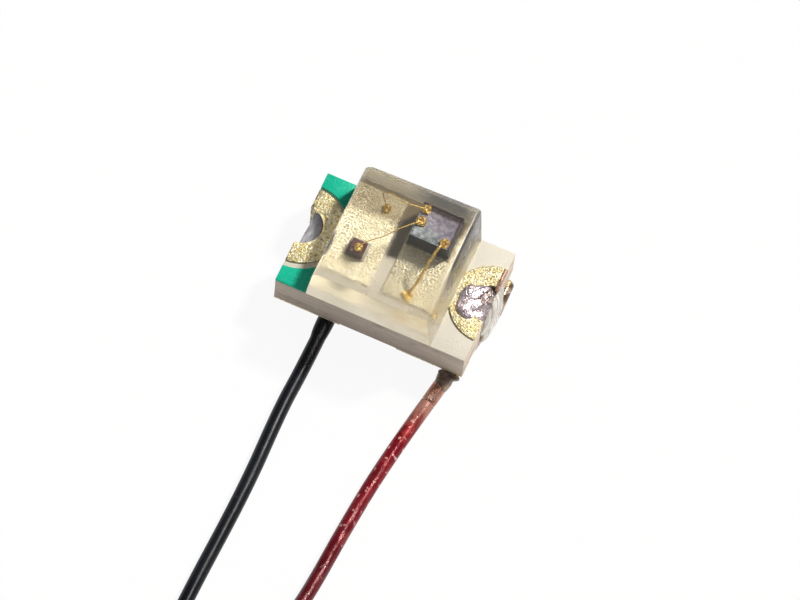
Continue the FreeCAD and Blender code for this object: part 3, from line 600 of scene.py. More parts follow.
def tie_paper(colours):
    material, tree, shader, place = start_material("tie_paper", Roughness=0.8)
    fibre = effect(tree, "Grain", {"Vector": stretched(tree, place, (60.0, 20.0, 20.0)), "Scale": 1.0,
                                   "Detail": 4.0})
    feed(tree, shader, Base_Color=blend(tree, fibre.outputs[0], scaled(colours.paper, 0.82), colours.paper))
    raise_surface(tree, shader, fibre.outputs[0], 0.006)
    return material


def clear_epoxy():
    """Cast epoxy: glossy where it was moulded, hazy where it was sawn, and clear to rays from lamps."""
    material = bpy.data.materials.new("clear_epoxy")
    material.use_nodes = True
    tree = material.node_tree
    tree.nodes.clear()
    coords = add(tree, "ShaderNodeTexCoord")
    place = stretched(tree, coords.outputs["Object"], (1 / MM,) * 3)
    shader = add(tree, "ShaderNodeBsdfPrincipled", {"Transmission Weight": 0.97, "IOR": 1.5})
    half = LENS_HIGH.y
    back = effect(tree, "Reach", {"Vector": place, "Axis": (0, 1, 0), "From": half - 0.004,
                                  "To": half - 0.002})
    front = effect(tree, "Reach", {"Vector": place, "Axis": (0, -1, 0), "From": half - 0.004,
                                   "To": half - 0.002})
    sawn = sum_up(tree, back.outputs[0], front.outputs[0])
    marks = effect(tree, "Grain", {"Vector": stretched(tree, place, (6.0, 1.0, 30.0)), "Scale": 1.0})
    waves = effect(tree, "Grain", {"Vector": place, "Scale": 3.0})
    haze = effect(tree, "Reach", {"Vector": place, "Axis": (0, -1, 0), "From": half - 0.42,
                                  "To": half - 0.05})
    worn = effect(tree, "Reach", {"Vector": place, "Axis": (1, 0, 0), "From": LENS_HIGH.x - 0.16,
                                  "To": LENS_HIGH.x - 0.08})
    cloud = effect(tree, "Grain", {"Vector": place, "Scale": 5.0, "Detail": 4.0})
    matt = sum_up(tree, haze.outputs[0], worn.outputs[0], "MAXIMUM")
    dulled = sum_up(tree, matt, sum_up(tree, cloud.outputs[0], 0.6), "MULTIPLY")
    moulded = add(tree, "ShaderNodeMapRange", {"Value": dulled, "To Min": 0.06, "To Max": 0.32})
    rough = add(tree, "ShaderNodeMapRange", {"Value": sawn, "To Min": moulded.outputs[0], "To Max": 0.50})
    feed(tree, shader, Roughness=rough.outputs[0])
    # Brownish blotches towards the front right corner, tinting the epoxy.
    blots = effect(tree, "Grain", {"Vector": place, "Scale": 4.0, "Detail": 2.0, "Low": 0.46, "High": 0.64})
    corner = effect(tree, "Reach", {"Vector": place, "Axis": (0.5, -0.85, 0), "From": 0.35, "To": 0.75})
    brown_blotches = sum_up(tree, sum_up(tree, blots.outputs[0], 0.35), corner.outputs[0], "MULTIPLY")
    feed(tree, shader, Base_Color=blend(tree, sum_up(tree, brown_blotches, 0.5, "MULTIPLY"), (0.98, 0.965, 0.92),
                                        (0.66, 0.55, 0.38)))
    height = sum_up(tree, sum_up(tree, marks.outputs[0], sawn, "MULTIPLY"),
                    sum_up(tree, waves.outputs[0], 0.3, "MULTIPLY"))
    raise_surface(tree, shader, height, 0.004, 0.5)
    inside = add(tree, "ShaderNodeNewGeometry")
    path = add(tree, "ShaderNodeLightPath")
    lamp_side = blend(tree, sawn, (0.93, 0.92, 0.89), (0.19, 0.155, 0.10))
    leaving = blend(tree, path.outputs["Is Shadow Ray"], (0.20, 0.18, 0.14), lamp_side)
    passed = blend(tree, inside.outputs["Backfacing"], (0.12, 0.105, 0.09), leaving)
    clear = add(tree, "ShaderNodeBsdfTransparent", {"Color": passed})
    unseen = sum_up(tree, path.outputs["Is Shadow Ray"], path.outputs["Is Diffuse Ray"], "MAXIMUM")
    mix = add(tree, "ShaderNodeMixShader")
    tree.links.new(unseen, mix.inputs[0])
    tree.links.new(shader.outputs[0], mix.inputs[1])
    tree.links.new(clear.outputs[0], mix.inputs[2])
    add(tree, "ShaderNodeOutputMaterial", {"Surface": mix.outputs[0]})
    return material


def floor_sheet():
    """White sheet that the camera sees nearly white, with the part's shadow kept."""
    material, tree, shader, place = start_material("floor_sheet", Roughness=0.9)
    grain = effect(tree, "Grain", {"Vector": place, "Scale": 1.5})
    feed(tree, shader, Base_Color=blend(tree, grain.outputs[0], (0.90, 0.90, 0.90), (0.93, 0.93, 0.93)))
    glow = add(tree, "ShaderNodeEmission", {"Color": (1, 1, 1, 1), "Strength": 1.0})
    mix = add(tree, "ShaderNodeMixShader")
    tree.links.new(seen_directly(tree, 0.93), mix.inputs[0])
    tree.links.new(shader.outputs[0], mix.inputs[1])
    tree.links.new(glow.outputs[0], mix.inputs[2])
    output = next(n for n in tree.nodes if n.type == "OUTPUT_MATERIAL")
    tree.links.new(mix.outputs[0], output.inputs["Surface"])
    return material


def seen_directly(tree, share):
    """A share for what is seen straight, in metal or through glass, and 0 for light between surfaces."""
    path = add(tree, "ShaderNodeLightPath")
    mirrored = sum_up(tree, path.outputs["Is Glossy Ray"], path.outputs["Is Transmission Ray"], "MAXIMUM")
    seen = sum_up(tree, path.outputs["Is Camera Ray"], mirrored, "MAXIMUM")
    straight = sum_up(tree, path.outputs["Diffuse Depth"], 0.5, "LESS_THAN")
    return sum_up(tree, sum_up(tree, seen, straight, "MULTIPLY"), share, "MULTIPLY")


def only(piece):
    """Make one object the selected and active one."""
    bpy.ops.object.select_all(action="DESELECT")
    piece.select_set(True)
    bpy.context.view_layer.objects.active = piece


def select_where(piece, kind, test):
    """Enter edit mode with only the faces or edges that a test picks selected."""
    only(piece)
    bpy.ops.object.mode_set(mode="EDIT")
    bpy.ops.mesh.select_mode(type=kind)
    bpy.ops.mesh.select_all(action="DESELECT")
    bpy.ops.object.mode_set(mode="OBJECT")
    mesh = piece.data
    if kind == "FACE":
        for face in mesh.polygons:
            face.select = test(face)
    else:
        for edge in mesh.edges:
            edge.select = test(*[mesh.vertices[i].co for i in edge.vertices])
    bpy.ops.object.mode_set(mode="EDIT")


def apply_modifiers(piece):
    only(piece)
    for modifier in list(piece.modifiers):
        bpy.ops.object.modifier_apply(modifier=modifier.name)


def round_off(piece, width, segments=2, angle=40.0):
    """Round every edge sharper than an angle."""
    bevel = piece.modifiers.new("rounding", "BEVEL")
    bevel.width = width
    bevel.segments = segments
    bevel.limit_method = "ANGLE"
    bevel.angle_limit = math.radians(angle)
    apply_modifiers(piece)


def block(name, low, high):
    """A box between two corners."""
    bpy.ops.object.select_all(action="DESELECT")
    centre = [(a + b) / 2 for a, b in zip(low, high)]
    bpy.ops.mesh.primitive_cube_add(size=1, location=centre)
    piece = bpy.context.object
    piece.name = name
    piece.scale = [b - a for a, b in zip(low, high)]
    bpy.ops.object.transform_apply(location=True, rotation=True, scale=True)
    return piece


def pebble(name, centre, radii, detail=4):
    """A round lump with a radius along each axis."""
    bpy.ops.object.select_all(action="DESELECT")
    bpy.ops.mesh.primitive_ico_sphere_add(subdivisions=detail, radius=1, location=centre)
    piece = bpy.context.object
    piece.name = name
    piece.scale = radii
    bpy.ops.object.transform_apply(location=True, rotation=True, scale=True)
    return piece


def lumpy(piece, size, depth, seed):
    """Push the surface in and out along its normals by a smooth pattern."""
    shift = Vector((seed * 7.3, seed * 3.1, seed * 5.7))
    normals = [vertex.normal.copy() for vertex in piece.data.vertices]
    for vertex, normal in zip(piece.data.vertices, normals):
        vertex.co += normal * depth * noise.noise(vertex.co / size + shift)
    return piece


def join(name, pieces):
    only(pieces[0])
    for piece in pieces[1:]:
        piece.select_set(True)
    bpy.ops.object.join()
    joined = bpy.context.object
    joined.name = name
    return joined


def melt(name, pieces, voxel, rounds):
    """Fuse lumps into one skin and relax it."""
    piece = join(name, pieces)
    skin = piece.modifiers.new("skin", "REMESH")
    skin.mode = "VOXEL"
    skin.voxel_size = voxel
    relax = piece.modifiers.new("relax", "SMOOTH")
    relax.factor = 0.5
    relax.iterations = rounds
    apply_modifiers(piece)
    return piece


def node_copy(node, name):
    """A merged copy of a node's mesh, in millimetres, with its flat faces whole."""
    piece = bpy.data.objects.new(name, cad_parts[node].data.copy())
    bpy.context.scene.collection.objects.link(piece)
    piece.data.materials.clear()
    piece.data.transform(Matrix.Scale(1 / MM, 4))
    only(piece)
    bpy.ops.object.mode_set(mode="EDIT")
    bpy.ops.mesh.select_all(action="SELECT")
    bpy.ops.mesh.remove_doubles(threshold=0.0001)
    bpy.ops.mesh.dissolve_limited(angle_limit=math.radians(0.5))
    bpy.ops.object.mode_set(mode="OBJECT")
    return piece


def paint(piece, *materials):
    piece.data.materials.clear()
    for material in materials:
        piece.data.materials.append(material)


def paint_where(piece, index, test):
    """Give the faces that a test picks another of the piece's materials."""
    for face in piece.data.polygons:
        if test(face):
            face.material_index = index


def seat(piece, slot, *nodes, smooth=40.0):
    """Bring a finished piece to metres, smooth it, and put it on the part in place of its nodes."""
    only(piece)
    if piece.type == "MESH":
        piece.scale = (MM,) * 3
        bpy.ops.object.transform_apply(location=True, rotation=True, scale=True)
        bpy.ops.object.shade_smooth_by_angle(angle=math.radians(smooth))
    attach(piece, "root")
    if nodes:
        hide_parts(*nodes)
    return piece


def dress(node, material):
    """Give a node that keeps its shape its finish."""
    paint(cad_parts[node], material)


def line(name, points, diameter, sides=4):
    """A round wire whose axis is a smooth spline with these control points, in metres."""
    curve = bpy.data.curves.new(name, "CURVE")
    curve.dimensions = "3D"
    curve.resolution_u = 6
    curve.bevel_depth = diameter / 2
    curve.bevel_resolution = sides
    curve.use_fill_caps = True
    spline = curve.splines.new("NURBS")
    spline.points.add(len(points) - 1)
    for spot, point in zip(spline.points, points):
        spot.co = (*point, 1)
    spline.order_u = 3
    spline.use_endpoint_u = True
    piece = bpy.data.objects.new(name, curve)
    bpy.context.scene.collection.objects.link(piece)
    return piece


def smooth_step(share):
    share = min(max(share, 0.0), 1.0)
    return share * share * (3 - 2 * share)


def coil_points(base, slots, start, finish, wire):
    """Control points of turns that fill slots of a ring, each slot a column and a row, in metres.

    The turns run from one angle to another and step to the next slot in the last part of each turn.
    Under the tie they are drawn together.
    """
    pull_in = 1 / (0.75 + 0.25 * math.cos(2 * math.pi / POINTS_PER_TURN))
    middle = COIL_INNER + COIL_COLUMNS * wire / 2
    count = int((finish - start) / (2 * math.pi) * POINTS_PER_TURN)
    points = []
    for i in range(1, count):
        angle = start + (finish - start) * i / count
        turns = (angle - start) / (2 * math.pi)
        k = min(int(turns), len(slots) - 1)
        after = slots[min(k + 1, len(slots) - 1)]
        shift = smooth_step((turns - k - 0.80) / 0.20)
        column = slots[k][0] + (after[0] - slots[k][0]) * shift
        row = slots[k][1] + (after[1] - slots[k][1]) * shift
        wobble = UNEVENNESS * noise.noise(Vector((angle * 0.35, row * 3.1, column * 2.3)))
        radius = COIL_INNER + (column + 0.5) * wire + wobble
        height = base + (row + 0.5) * wire
        near_tie = math.exp(-(math.remainder(angle + math.pi / 2, 2 * math.pi) / TIE_REACH) ** 2)
        radius = middle + (radius - middle) * (1 - TIE_PULL_IN * near_tie)
        height = COIL_LAYER + (height - COIL_LAYER) * (1 - TIE_PULL_DOWN * near_tie)
        radius *= pull_in
        points.append((MM * (COIL_X + radius * math.cos(angle)), MM * (COIL_Y + radius * math.sin(angle)),
                       MM * height))
    return points


def start_angle(route):
    x, y, _ = route[-1]
    return math.atan2(y / MM - COIL_Y, x / MM - COIL_X) % (2 * math.pi)


def build_stage(sizes):
    """Floor, light and the camera at the photograph's place."""
    scene = bpy.context.scene
    scene.view_settings.view_transform = "Standard"
    floor = block("floor", (-60, -60, -1), (60, 60, 0))
    only(floor)
    floor.scale = (MM,) * 3
    bpy.ops.object.transform_apply(location=True, rotation=True, scale=True)
    paint(floor, floor_sheet())

    sun = bpy.data.lights.new("key", "SUN")
    sun.energy = 3.3
    sun.angle = sizes.light_spread
    sun.color = (1.0, 0.975, 0.93)
    lamp = bpy.data.objects.new("key", sun)
    lamp.rotation_euler = LIGHT_WAY.to_track_quat("Z", "Y").to_euler()
    scene.collection.objects.link(lamp)

    world = bpy.data.worlds.new("studio")
    scene.world = world
    world.use_nodes = True
    tree = world.node_tree
    tree.nodes.clear()
    fill = add(tree, "ShaderNodeBackground", {"Color": (0.90, 0.94, 1.0, 1), "Strength": 0.22})
    white = add(tree, "ShaderNodeBackground", {"Color": (1, 1, 1, 1), "Strength": 1.0})
    coords = add(tree, "ShaderNodeTexCoord")
    skyline = effect(tree, "Reach", {"Vector": coords.outputs["Generated"], "Axis": (0, 0, 1), "From": 0.24,
                                     "To": 0.18})
    mix = add(tree, "ShaderNodeMixShader")
    tree.links.new(sum_up(tree, seen_directly(tree, 1.0), skyline.outputs[0], "MULTIPLY"), mix.inputs[0])
    tree.links.new(fill.outputs[0], mix.inputs[1])
    tree.links.new(white.outputs[0], mix.inputs[2])
    add(tree, "ShaderNodeOutputWorld", {"Surface": mix.outputs[0]})

    azimuth, elevation, roll = (math.radians(a) for a in (CAMERA_AZIMUTH, CAMERA_ELEVATION, CAMERA_ROLL))
    towards = Vector((math.sin(azimuth) * math.cos(elevation), -math.cos(azimuth) * math.cos(elevation),
                      math.sin(elevation)))
    level = Vector((0, 0, 1)).cross(towards).normalized()
    upright = towards.cross(level)
    right = level * math.cos(roll) + upright * math.sin(roll)
    up = upright * math.cos(roll) - level * math.sin(roll)
    data = bpy.data.cameras.new("camera")
    data.sensor_width = SENSOR_WIDTH
    data.lens = PIXELS_PER_MM * CAMERA_DISTANCE * SENSOR_WIDTH / PICTURE_WIDTH
    data.shift_x = CENTRE_OFFSET[0] / PICTURE_WIDTH
    data.shift_y = CENTRE_OFFSET[1] / PICTURE_WIDTH
    data.clip_start = MM
    data.clip_end = 1.0
    camera = bpy.data.objects.new("camera", data)
    turn = Matrix((right, up, towards)).transposed().to_4x4()
    camera.matrix_world = Matrix.Translation((CAMERA_TARGET + towards * CAMERA_DISTANCE) * MM) @ turn
    scene.collection.objects.link(camera)
    scene.camera = camera


def build_wires(sizes, colours):
    """Both enamelled wires from the board through their coils, and their stripped tips."""
    wire = sizes.wire / MM
    outer = COIL_COLUMNS - 1
    inward = [(column, 0) for column in range(outer, -1, -1)]
    zigzag = [(column, row) for column in range(COIL_COLUMNS)
              for row in ((1, 2) if column % 2 == 0 else (2, 1))]
    layers = [(column, 1) for column in range(COIL_COLUMNS)]
    layers += [(column, 2) for column in range(outer, 0, -1)]

    tip_low, tip_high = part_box("black_wire_tip")
    tip = Vector(((tip_low.x + tip_high.x) / 2, tip_low.y, (tip_low.z + tip_high.z) / 2))
    start = start_angle(BLACK_ROUTE)
    turns = coil_points(0.0, inward + zigzag, start, 2 * math.pi * COIL_TURNS - 0.8, wire)
    lead = [(tip.x + 0.00003, tip.y - 0.00075, tip.z + 0.00006), (tip.x, tip.y - 0.0003, tip.z), tuple(tip)]
    black = line("black_enamel_wire", BLACK_ROUTE + turns + lead, sizes.wire)
    paint(black, black_enamel(colours))
    seat(black, "black_enamel", "black_wire", "black_wire_coil")

    tip_low, tip_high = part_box("red_wire_tip")
    tip = Vector(((tip_low.x + tip_high.x) / 2, tip_low.y, (tip_low.z + tip_high.z) / 2))
    start = start_angle(RED_ROUTE)
    turns = coil_points(COIL_LAYER, inward + layers, start, 2 * math.pi * COIL_TURNS - 0.9, wire)
    lead = [(tip.x - 0.0006, tip.y - 0.00052, tip.z - 0.00004), (tip.x - 0.0001, tip.y - 0.0003, tip.z),
            tuple(tip)]
    red = line("red_enamel_wire", RED_ROUTE + turns + lead, sizes.wire)
    paint(red, red_enamel(colours))
    seat(red, "red_enamel", "red_wire", "red_wire_coil")

    copper = bare_copper(colours)
    for node in ("black_wire_tip", "red_wire_tip", "black_wire_tail"):
        dress(node, copper)

    tie = node_copy("coil_tie", "tie_band")
    round_off(tie, 0.03, 3)
    paint(tie, tie_paper(colours))
    seat(tie, "tie_paper", "coil_tie")

    tail = node_copy("red_wire_tail", "red_tail")
    end = max(vertex.co.y for vertex in tail.data.vertices)
    only(tail)
    bpy.ops.object.mode_set(mode="EDIT")
    bpy.ops.mesh.select_all(action="SELECT")
    bpy.ops.mesh.bisect(plane_co=(0, end - STUB_LENGTH, 0), plane_no=(0, 1, 0))
    bpy.ops.object.mode_set(mode="OBJECT")
    stub_end = [vertex for vertex in tail.data.vertices if vertex.co.y > end - 0.05]
    middle = sum((vertex.co for vertex in stub_end), Vector()) / len(stub_end)
    for vertex in stub_end:
        vertex.co = middle + (vertex.co - middle) * STUB_TAPER + STUB_SHIFT
    round_off(tail, 0.03, 4)
    stub = stained_stub(colours)
    paint(tail, copper, stub)
    paint_where(tail, 1, lambda face: face.center.y > end - STUB_LENGTH)
    seat(tail, "tinned_copper", "red_wire_tail", smooth=60.0)

    collar = pebble("black_collar", (-0.448, -0.62, 0.082), (0.088, 0.34, 0.077))
    paint(collar, black_enamel(colours))
    seat(collar, "black_enamel")


def build_board(colours):
    """Laminate, films and foils, with worn edges."""
    board = node_copy("substrate", "board")
    round_off(board, 0.007, 2, 60.0)
    paint(board, laminate_face(colours), laminate_edge(colours))
    paint_where(board, 1, lambda face: abs(face.normal.z) < 0.8)
    seat(board, "laminate", "substrate")

    film = green_film(colours)
    for node, name in (("solder_mask_back", "film_back"), ("solder_mask_front", "film_front")):
        piece = node_copy(node, name)
        round_off(piece, 0.008, 3, 60.0)
        paint(piece, film)
        seat(piece, "solder_mask", node)
    dress("polarity_mark", film)

    gold = plated_foil(colours)
    copper = bare_copper(colours)
    for node, name in (("cathode_pad", "cathode_foil"), ("anode_pad", "anode_foil")):
        piece = node_copy(node, name)
        round_off(piece, 0.005, 2, 60.0)
        paint(piece, gold, copper)
        paint_where(piece, 1, lambda face: abs(face.center.x) > BOARD_HIGH.x - 0.002)
        seat(piece, "gold_foil", node)
    for node in ("cathode_terminal", "anode_terminal", "cathode_castellation", "anode_castellation"):
        dress(node, gold)


def build_dies(colours):
    """The driver chip, the emitter and the glue under them."""
    chip = block("driver_chip_cut", CHIP_LOW, CHIP_HIGH)
    select_where(chip, "FACE", lambda face: face.normal.z > 0.5)
    bpy.ops.mesh.inset(thickness=0.016, depth=0)
    bpy.ops.mesh.inset(thickness=0.004, depth=-0.003)
    bpy.ops.object.mode_set(mode="OBJECT")
    round_off(chip, 0.003, 2, 60.0)
    paint(chip, silicon_face(colours), silicon_side())
    paint_where(chip, 1, lambda face: face.normal.z < 0.8)
    seat(chip, "silicon", "driver_chip")

    emitter = block("emitter_cut", LED_LOW + Vector((0.01, 0, 0)), LED_HIGH - Vector((0.01, 0.02, 0.03)))
    select_where(emitter, "FACE", lambda face: face.normal.z > 0.5)
    bpy.ops.mesh.inset(thickness=0.014, depth=0.012)
    bpy.ops.object.mode_set(mode="OBJECT")
    round_off(emitter, 0.004, 2, 60.0)
    paint(emitter, emitter_crystal(colours))
    seat(emitter, "emitter", "led_die")

    glue = die_glue()
    for node, name, spread, seed in (("driver_die_attach", "driver_glue", 0.022, 1),
                                     ("led_die_attach", "led_glue", 0.014, 2)):
        low, high = box_mm(node)
        wide = Vector((spread, spread, 0))
        piece = block(name, low - wide, high + wide)
        round_off(piece, 0.012, 3)
        lumpy(piece, 0.05, 0.008, seed)
        paint(piece, glue)
        seat(piece, "die_glue", node)


def gold_ball(name, foot, radius, height, seed, rough):
    """A squashed ball bond, with its middle half its height above its foot."""
    ball = pebble(name, (foot[0], foot[1], foot[2] + height / 2), (radius, radius, height * 0.62))
    return lumpy(ball, 0.03, rough, seed)


def gold_line(name, points, diameter):
    """A fine wire through points in millimetres, as a mesh in millimetres."""
    piece = line(name, [tuple(MM * c for c in point) for point in points], diameter, 3)
    only(piece)
    bpy.ops.object.convert(target="MESH")
    piece.data.transform(Matrix.Scale(1 / MM, 4))
    return piece


def build_bonds(sizes, colours):
    """Ball bonds, bumps and the three gold wires."""
    gold = bond_gold(colours)
    chip_top = CHIP_HIGH.z
    led_x = (LED_LOW.x + LED_HIGH.x) / 2
    led_y = (LED_LOW.y + LED_HIGH.y) / 2
    bumps = {"chip_bump_led": (0.088, 0.36), "chip_bump_ground": (0.085, 0.497)}
    for seed, (node, (x, y)) in enumerate(bumps.items(), start=3):
        bump = gold_ball(node + "_gold", (x, y, chip_top), 0.052, 0.036, seed, 0.022)
        paint(bump, gold)
        seat(bump, "gold_wire", node)

    x, y = bumps["chip_bump_led"]
    led_top = LED_HIGH.z - 0.018
    points = [(led_x + 0.01, led_y - 0.02, led_top + 0.02), (led_x + 0.03, led_y - 0.02, 0.88),
              (-0.255, -0.015, 0.965), (-0.155, 0.06, 1.0), (-0.06, 0.20, 1.01), (x, y, 0.95)]
    wire = gold_line("led_bond", points, sizes.bond)
    ball = gold_ball("led_ball", (led_x + 0.01, led_y - 0.02, led_top), 0.044, 0.05, 5, 0.006)
    wire = join("led_bond", [wire, ball])
    paint(wire, gold)
    seat(wire, "gold_wire", "led_bond_wire")

    x, y = bumps["chip_bump_ground"]
    points = [(-0.295, 0.425, FOIL_TOP + 0.02), (-0.33, 0.45, 0.78), (-0.385, 0.475, 0.98),
              (-0.25, 0.485, 1.02), (-0.11, 0.44, 1.02), (x, y, 0.95)]
    wire = gold_line("ground_bond", points, sizes.bond)
    ball = gold_ball("ground_ball", (-0.295, 0.425, FOIL_TOP), 0.045, 0.04, 6, 0.008)
    wire = join("ground_bond", [wire, ball])
    paint(wire, gold)
    seat(wire, "gold_wire", "ground_bond_wire")

    points = [(0.385, 0.25, chip_top + 0.015), (0.365, 0.20, 1.03), (0.345, 0.09, 1.0),
              (0.31, -0.06, 0.86), (0.285, -0.19, 0.69), (0.25, -0.295, FOIL_TOP + 0.01)]
    wire = gold_line("supply_bond", points, sizes.supply_bond)
    ball = gold_ball("supply_ball", (0.385, 0.25, chip_top), 0.048, 0.036, 7, 0.018)
    foot = gold_ball("supply_foot", (0.25, -0.30, FOIL_TOP), 0.05, 0.022, 8, 0.02)
    wire = join("supply_bond", [wire, ball, foot])
    paint(wire, gold)
    seat(wire, "gold_wire", "supply_bond_wire")


def meniscus(name, end, side):
    """The hollow chute of solder that fills a notch: from its rim at the top down and out to the bottom."""
    rim = FOIL_TOP - 0.012
    foot = BOARD_LOW.z - 0.015
    rows, columns = 10, 24
    points, faces = [], []
    for i in range(columns + 1):
        angle = math.radians(-88 + 176 * i / columns)
        along = NOTCH_Y + NOTCH_RADIUS * math.sin(angle)
        wall = Vector((end + side * NOTCH_RADIUS * math.cos(angle), along))
        mouth = Vector((end - side * 0.012 * math.cos(angle) ** 2, along))
        for j in range(rows + 1):
            share = j / rows
            flat = wall.lerp(mouth, 1 - (1 - share) ** 1.25)
            height = rim - (rim - foot) * (1 - (1 - share) ** 2.1) * (0.25 + 0.75 * share)
            points.append((flat.x, flat.y, height))
        points.append((wall.x, wall.y, foot))
    loop = rows + 2
    for i in range(columns):
        for j in range(loop):
            a, b = i * loop + j, i * loop + (j + 1) % loop
            faces.append((a, b, b + loop, a + loop))
    faces.append(tuple(range(loop)))
    faces.append(tuple(reversed(range(columns * loop, (columns + 1) * loop))))
    mesh = bpy.data.meshes.new(name)
    mesh.from_pydata(points, [], faces)
    piece = bpy.data.objects.new(name, mesh)
    bpy.context.scene.collection.objects.link(piece)
    only(piece)
    bpy.ops.object.mode_set(mode="EDIT")
    bpy.ops.mesh.select_all(action="SELECT")
    bpy.ops.mesh.normals_make_consistent(inside=False)
    bpy.ops.object.mode_set(mode="OBJECT")
    return piece


def outlined_cap(name, centre, reach, low, high):
    """A low dome whose edge follows radii given at even angles round its centre."""
    cap = pebble(name, (0, 0, 0), (1, 1, 1), 5)
    count = len(reach)
    for vertex in cap.data.vertices:
        turn = (math.atan2(vertex.co.y, vertex.co.x) % (2 * math.pi)) / (2 * math.pi) * count
        k = int(turn) % count
        radius = reach[k] + (reach[(k + 1) % count] - reach[k]) * smooth_step(turn - int(turn))
        vertex.co = Vector((centre[0] + vertex.co.x * radius, centre[1] + vertex.co.y * radius,
                            low + (high - low) * max(vertex.co.z, 0) ** 0.6 + 0.01 * min(vertex.co.z, 0)))
    return cap


def build_solder(colours):
    """Solder at both ends, the burnt flux where the red wire comes out, and the torn foil edge."""
    chute = meniscus("cathode_chute", -BOARD_HIGH.x, 1)
    under = pebble("cathode_under", (-0.445, -0.06, 0.115), (0.14, 0.36, 0.06))
    bridge = block("cathode_bridge", (-0.95, -0.085, 0.15), (-0.50, 0.135, 0.172))
    melted = melt("cathode_melt", [chute, under, bridge], 0.008, 2)
    lumpy(melted, 0.12, 0.004, 9)
    paint(melted, notch_solder())
    seat(melted, "solder", "cathode_solder", smooth=60.0)

    reach = [0.14, 0.17, 0.215, 0.175, 0.155, 0.17, 0.19, 0.195, 0.225, 0.24, 0.20, 0.15]
    cap = outlined_cap("anode_cap", (0.855, 0.01), reach, FOIL_TOP - 0.004, FOIL_TOP + 0.05)
    for vertex in cap.data.vertices:
        vertex.co.z -= CAP_FALL * max(vertex.co.x - CAP_FALL_START, 0)
    lumpy(cap, 0.11, 0.022, 10)
    lumps = [
        cap,
        pebble("anode_curtain", (1.0, 0.07, 0.34), (0.068, 0.27, 0.22)),
        pebble("anode_belly", (1.01, 0.06, 0.17), (0.07, 0.27, 0.12)),
        pebble("anode_fill", (0.93, -0.06, 0.36), (0.11, 0.14, 0.20)),
        pebble("anode_under", (0.90, -0.10, 0.12), (0.11, 0.40, 0.06)),
    ]
    melted = melt("anode_melt", lumps, 0.008, 5)
    lumpy(melted, 0.13, 0.005, 11)
    paint(melted, solder_skin(colours), solder_curtain())
    paint_where(melted, 1, lambda face: face.center.x > BOARD_HIGH.x + 0.002)
    seat(melted, "solder", "anode_solder", smooth=60.0)

    flux = [pebble("flux_front", (0.875, -0.64, 0.13), (0.115, 0.05, 0.05)),
            pebble("flux_neck", (0.848, -0.69, 0.095), (0.086, 0.15, 0.075))]
    melted = melt("flux_fillet", flux, 0.006, 8)
    lumpy(melted, 0.07, 0.006, 12)
    paint(melted, flux_skin())
    seat(melted, "solder", smooth=60.0)

    burr = block("copper_burr", (0.972, 0.16, FOIL_TOP - 0.03), (1.006, 0.425, FOIL_TOP + 0.016))
    round_off(burr, 0.012, 3)
    lumpy(burr, 0.06, 0.01, 13)
    paint(burr, stained_copper())
    seat(burr, "tinned_copper", smooth=60.0)


def build_lens():
    """The clear block: drafted moulded ends, rounded top ends, flat sawn front and back."""
    low = LENS_LOW - Vector((0, 0, 0.002))
    lens = block("lens_block", low, LENS_HIGH)
    middle = (low.x + LENS_HIGH.x) / 2
    length = LENS_HIGH.x - low.x
    select_where(lens, "FACE", lambda face: face.normal.z > 0.5)
    bpy.ops.transform.resize(value=((length - LENS_NARROWING) / length, 1, 1),
                             center_override=(middle, 0, LENS_HIGH.z))
    bpy.ops.object.mode_set(mode="OBJECT")
    top = LENS_HIGH.z - 0.001
    for vertex in lens.data.vertices:
        if vertex.co.z > top and vertex.co.y > 0:
            vertex.co.y += LENS_LEAN if vertex.co.x > 0 else LENS_LEAN / 3
    for side, width in ((-1, 0.10), (1, 0.04)):
        select_where(lens, "EDGE", lambda a, b: min(a.z, b.z) > top and abs(a.x - b.x) < 0.001
                     and (a.x - middle) * side > 0.5)
        bpy.ops.mesh.bevel(offset=width, segments=8, affect="EDGES")
        bpy.ops.object.mode_set(mode="OBJECT")
    round_off(lens, 0.008, 3, 35.0)
    paint(lens, clear_epoxy())
    seat(lens, "epoxy", "epoxy_lens", smooth=35.0)


class LedOperator:
    """What every step shares: it can be undone, and it builds from the scene's sizes and colours."""
    bl_options = {"REGISTER", "UNDO"}


class LED_OT_stage(LedOperator, Operator):
    """Put down the floor, the light and the camera"""
    bl_idname = "chip_led.stage"
    bl_label = "Stage"

    def execute(self, context):
        build_stage(context.scene.led_sizes)
        return {"FINISHED"}


class LED_OT_wires(LedOperator, Operator):
    """Lay both wires, their coils, the tie and the stripped ends"""
    bl_idname = "chip_led.wires"
    bl_label = "Wires"

    def execute(self, context):
        build_wires(context.scene.led_sizes, context.scene.led_colours)
        return {"FINISHED"}


class LED_OT_board(LedOperator, Operator):
    """Finish the laminate, the films and the foils"""
    bl_idname = "chip_led.board"
    bl_label = "Board"

    def execute(self, context):
        build_board(context.scene.led_colours)
        return {"FINISHED"}


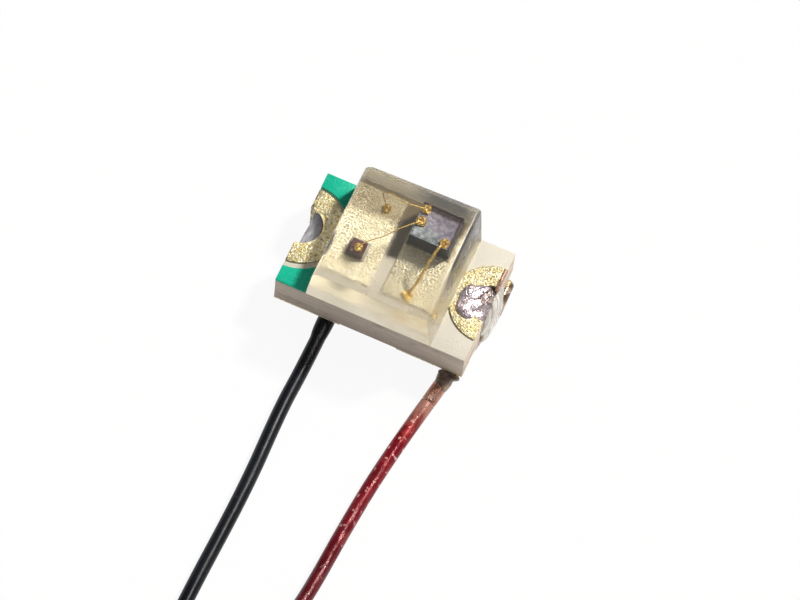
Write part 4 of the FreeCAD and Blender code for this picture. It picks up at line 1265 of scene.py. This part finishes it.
class LED_OT_dies(LedOperator, Operator):
    """Set the chip and the emitter on their glue"""
    bl_idname = "chip_led.dies"
    bl_label = "Dies"

    def execute(self, context):
        build_dies(context.scene.led_colours)
        return {"FINISHED"}


class LED_OT_bonds(LedOperator, Operator):
    """Bond the gold wires"""
    bl_idname = "chip_led.bonds"
    bl_label = "Bonds"

    def execute(self, context):
        build_bonds(context.scene.led_sizes, context.scene.led_colours)
        return {"FINISHED"}


class LED_OT_solder(LedOperator, Operator):
    """Flow the solder at both ends"""
    bl_idname = "chip_led.solder"
    bl_label = "Solder"

    def execute(self, context):
        build_solder(context.scene.led_colours)
        return {"FINISHED"}


class LED_OT_lens(LedOperator, Operator):
    """Cast the clear block over the dies"""
    bl_idname = "chip_led.lens"
    bl_label = "Lens"

    def execute(self, context):
        build_lens()
        return {"FINISHED"}


STEPS = (LED_OT_stage, LED_OT_wires, LED_OT_board, LED_OT_dies, LED_OT_bonds, LED_OT_solder, LED_OT_lens)


class LED_PT_panel(Panel):
    """Every step, with the sizes and colours that it reads"""
    bl_idname = "LED_PT_panel"
    bl_label = "Chip LED"
    bl_space_type = "VIEW_3D"
    bl_region_type = "UI"
    bl_category = "Chip LED"

    def draw(self, context):
        for group in (context.scene.led_sizes, context.scene.led_colours):
            for name in group.__annotations__:
                self.layout.prop(group, name)
        for step in STEPS:
            self.layout.operator(step.bl_idname)


CLASSES = (LedSizes, LedColours, *STEPS, LED_PT_panel)


def register():
    for cls in CLASSES:
        bpy.utils.register_class(cls)
    bpy.types.Scene.led_sizes = PointerProperty(type=LedSizes)
    bpy.types.Scene.led_colours = PointerProperty(type=LedColours)


def unregister():
    del bpy.types.Scene.led_colours
    del bpy.types.Scene.led_sizes
    for cls in reversed(CLASSES):
        bpy.utils.unregister_class(cls)


def main():
    """Run every step in order."""
    register()
    bpy.ops.chip_led.stage()
    bpy.ops.chip_led.wires()
    bpy.ops.chip_led.board()
    bpy.ops.chip_led.dies()
    bpy.ops.chip_led.bonds()
    bpy.ops.chip_led.solder()
    bpy.ops.chip_led.lens()


if __name__ == "__main__":
    main()
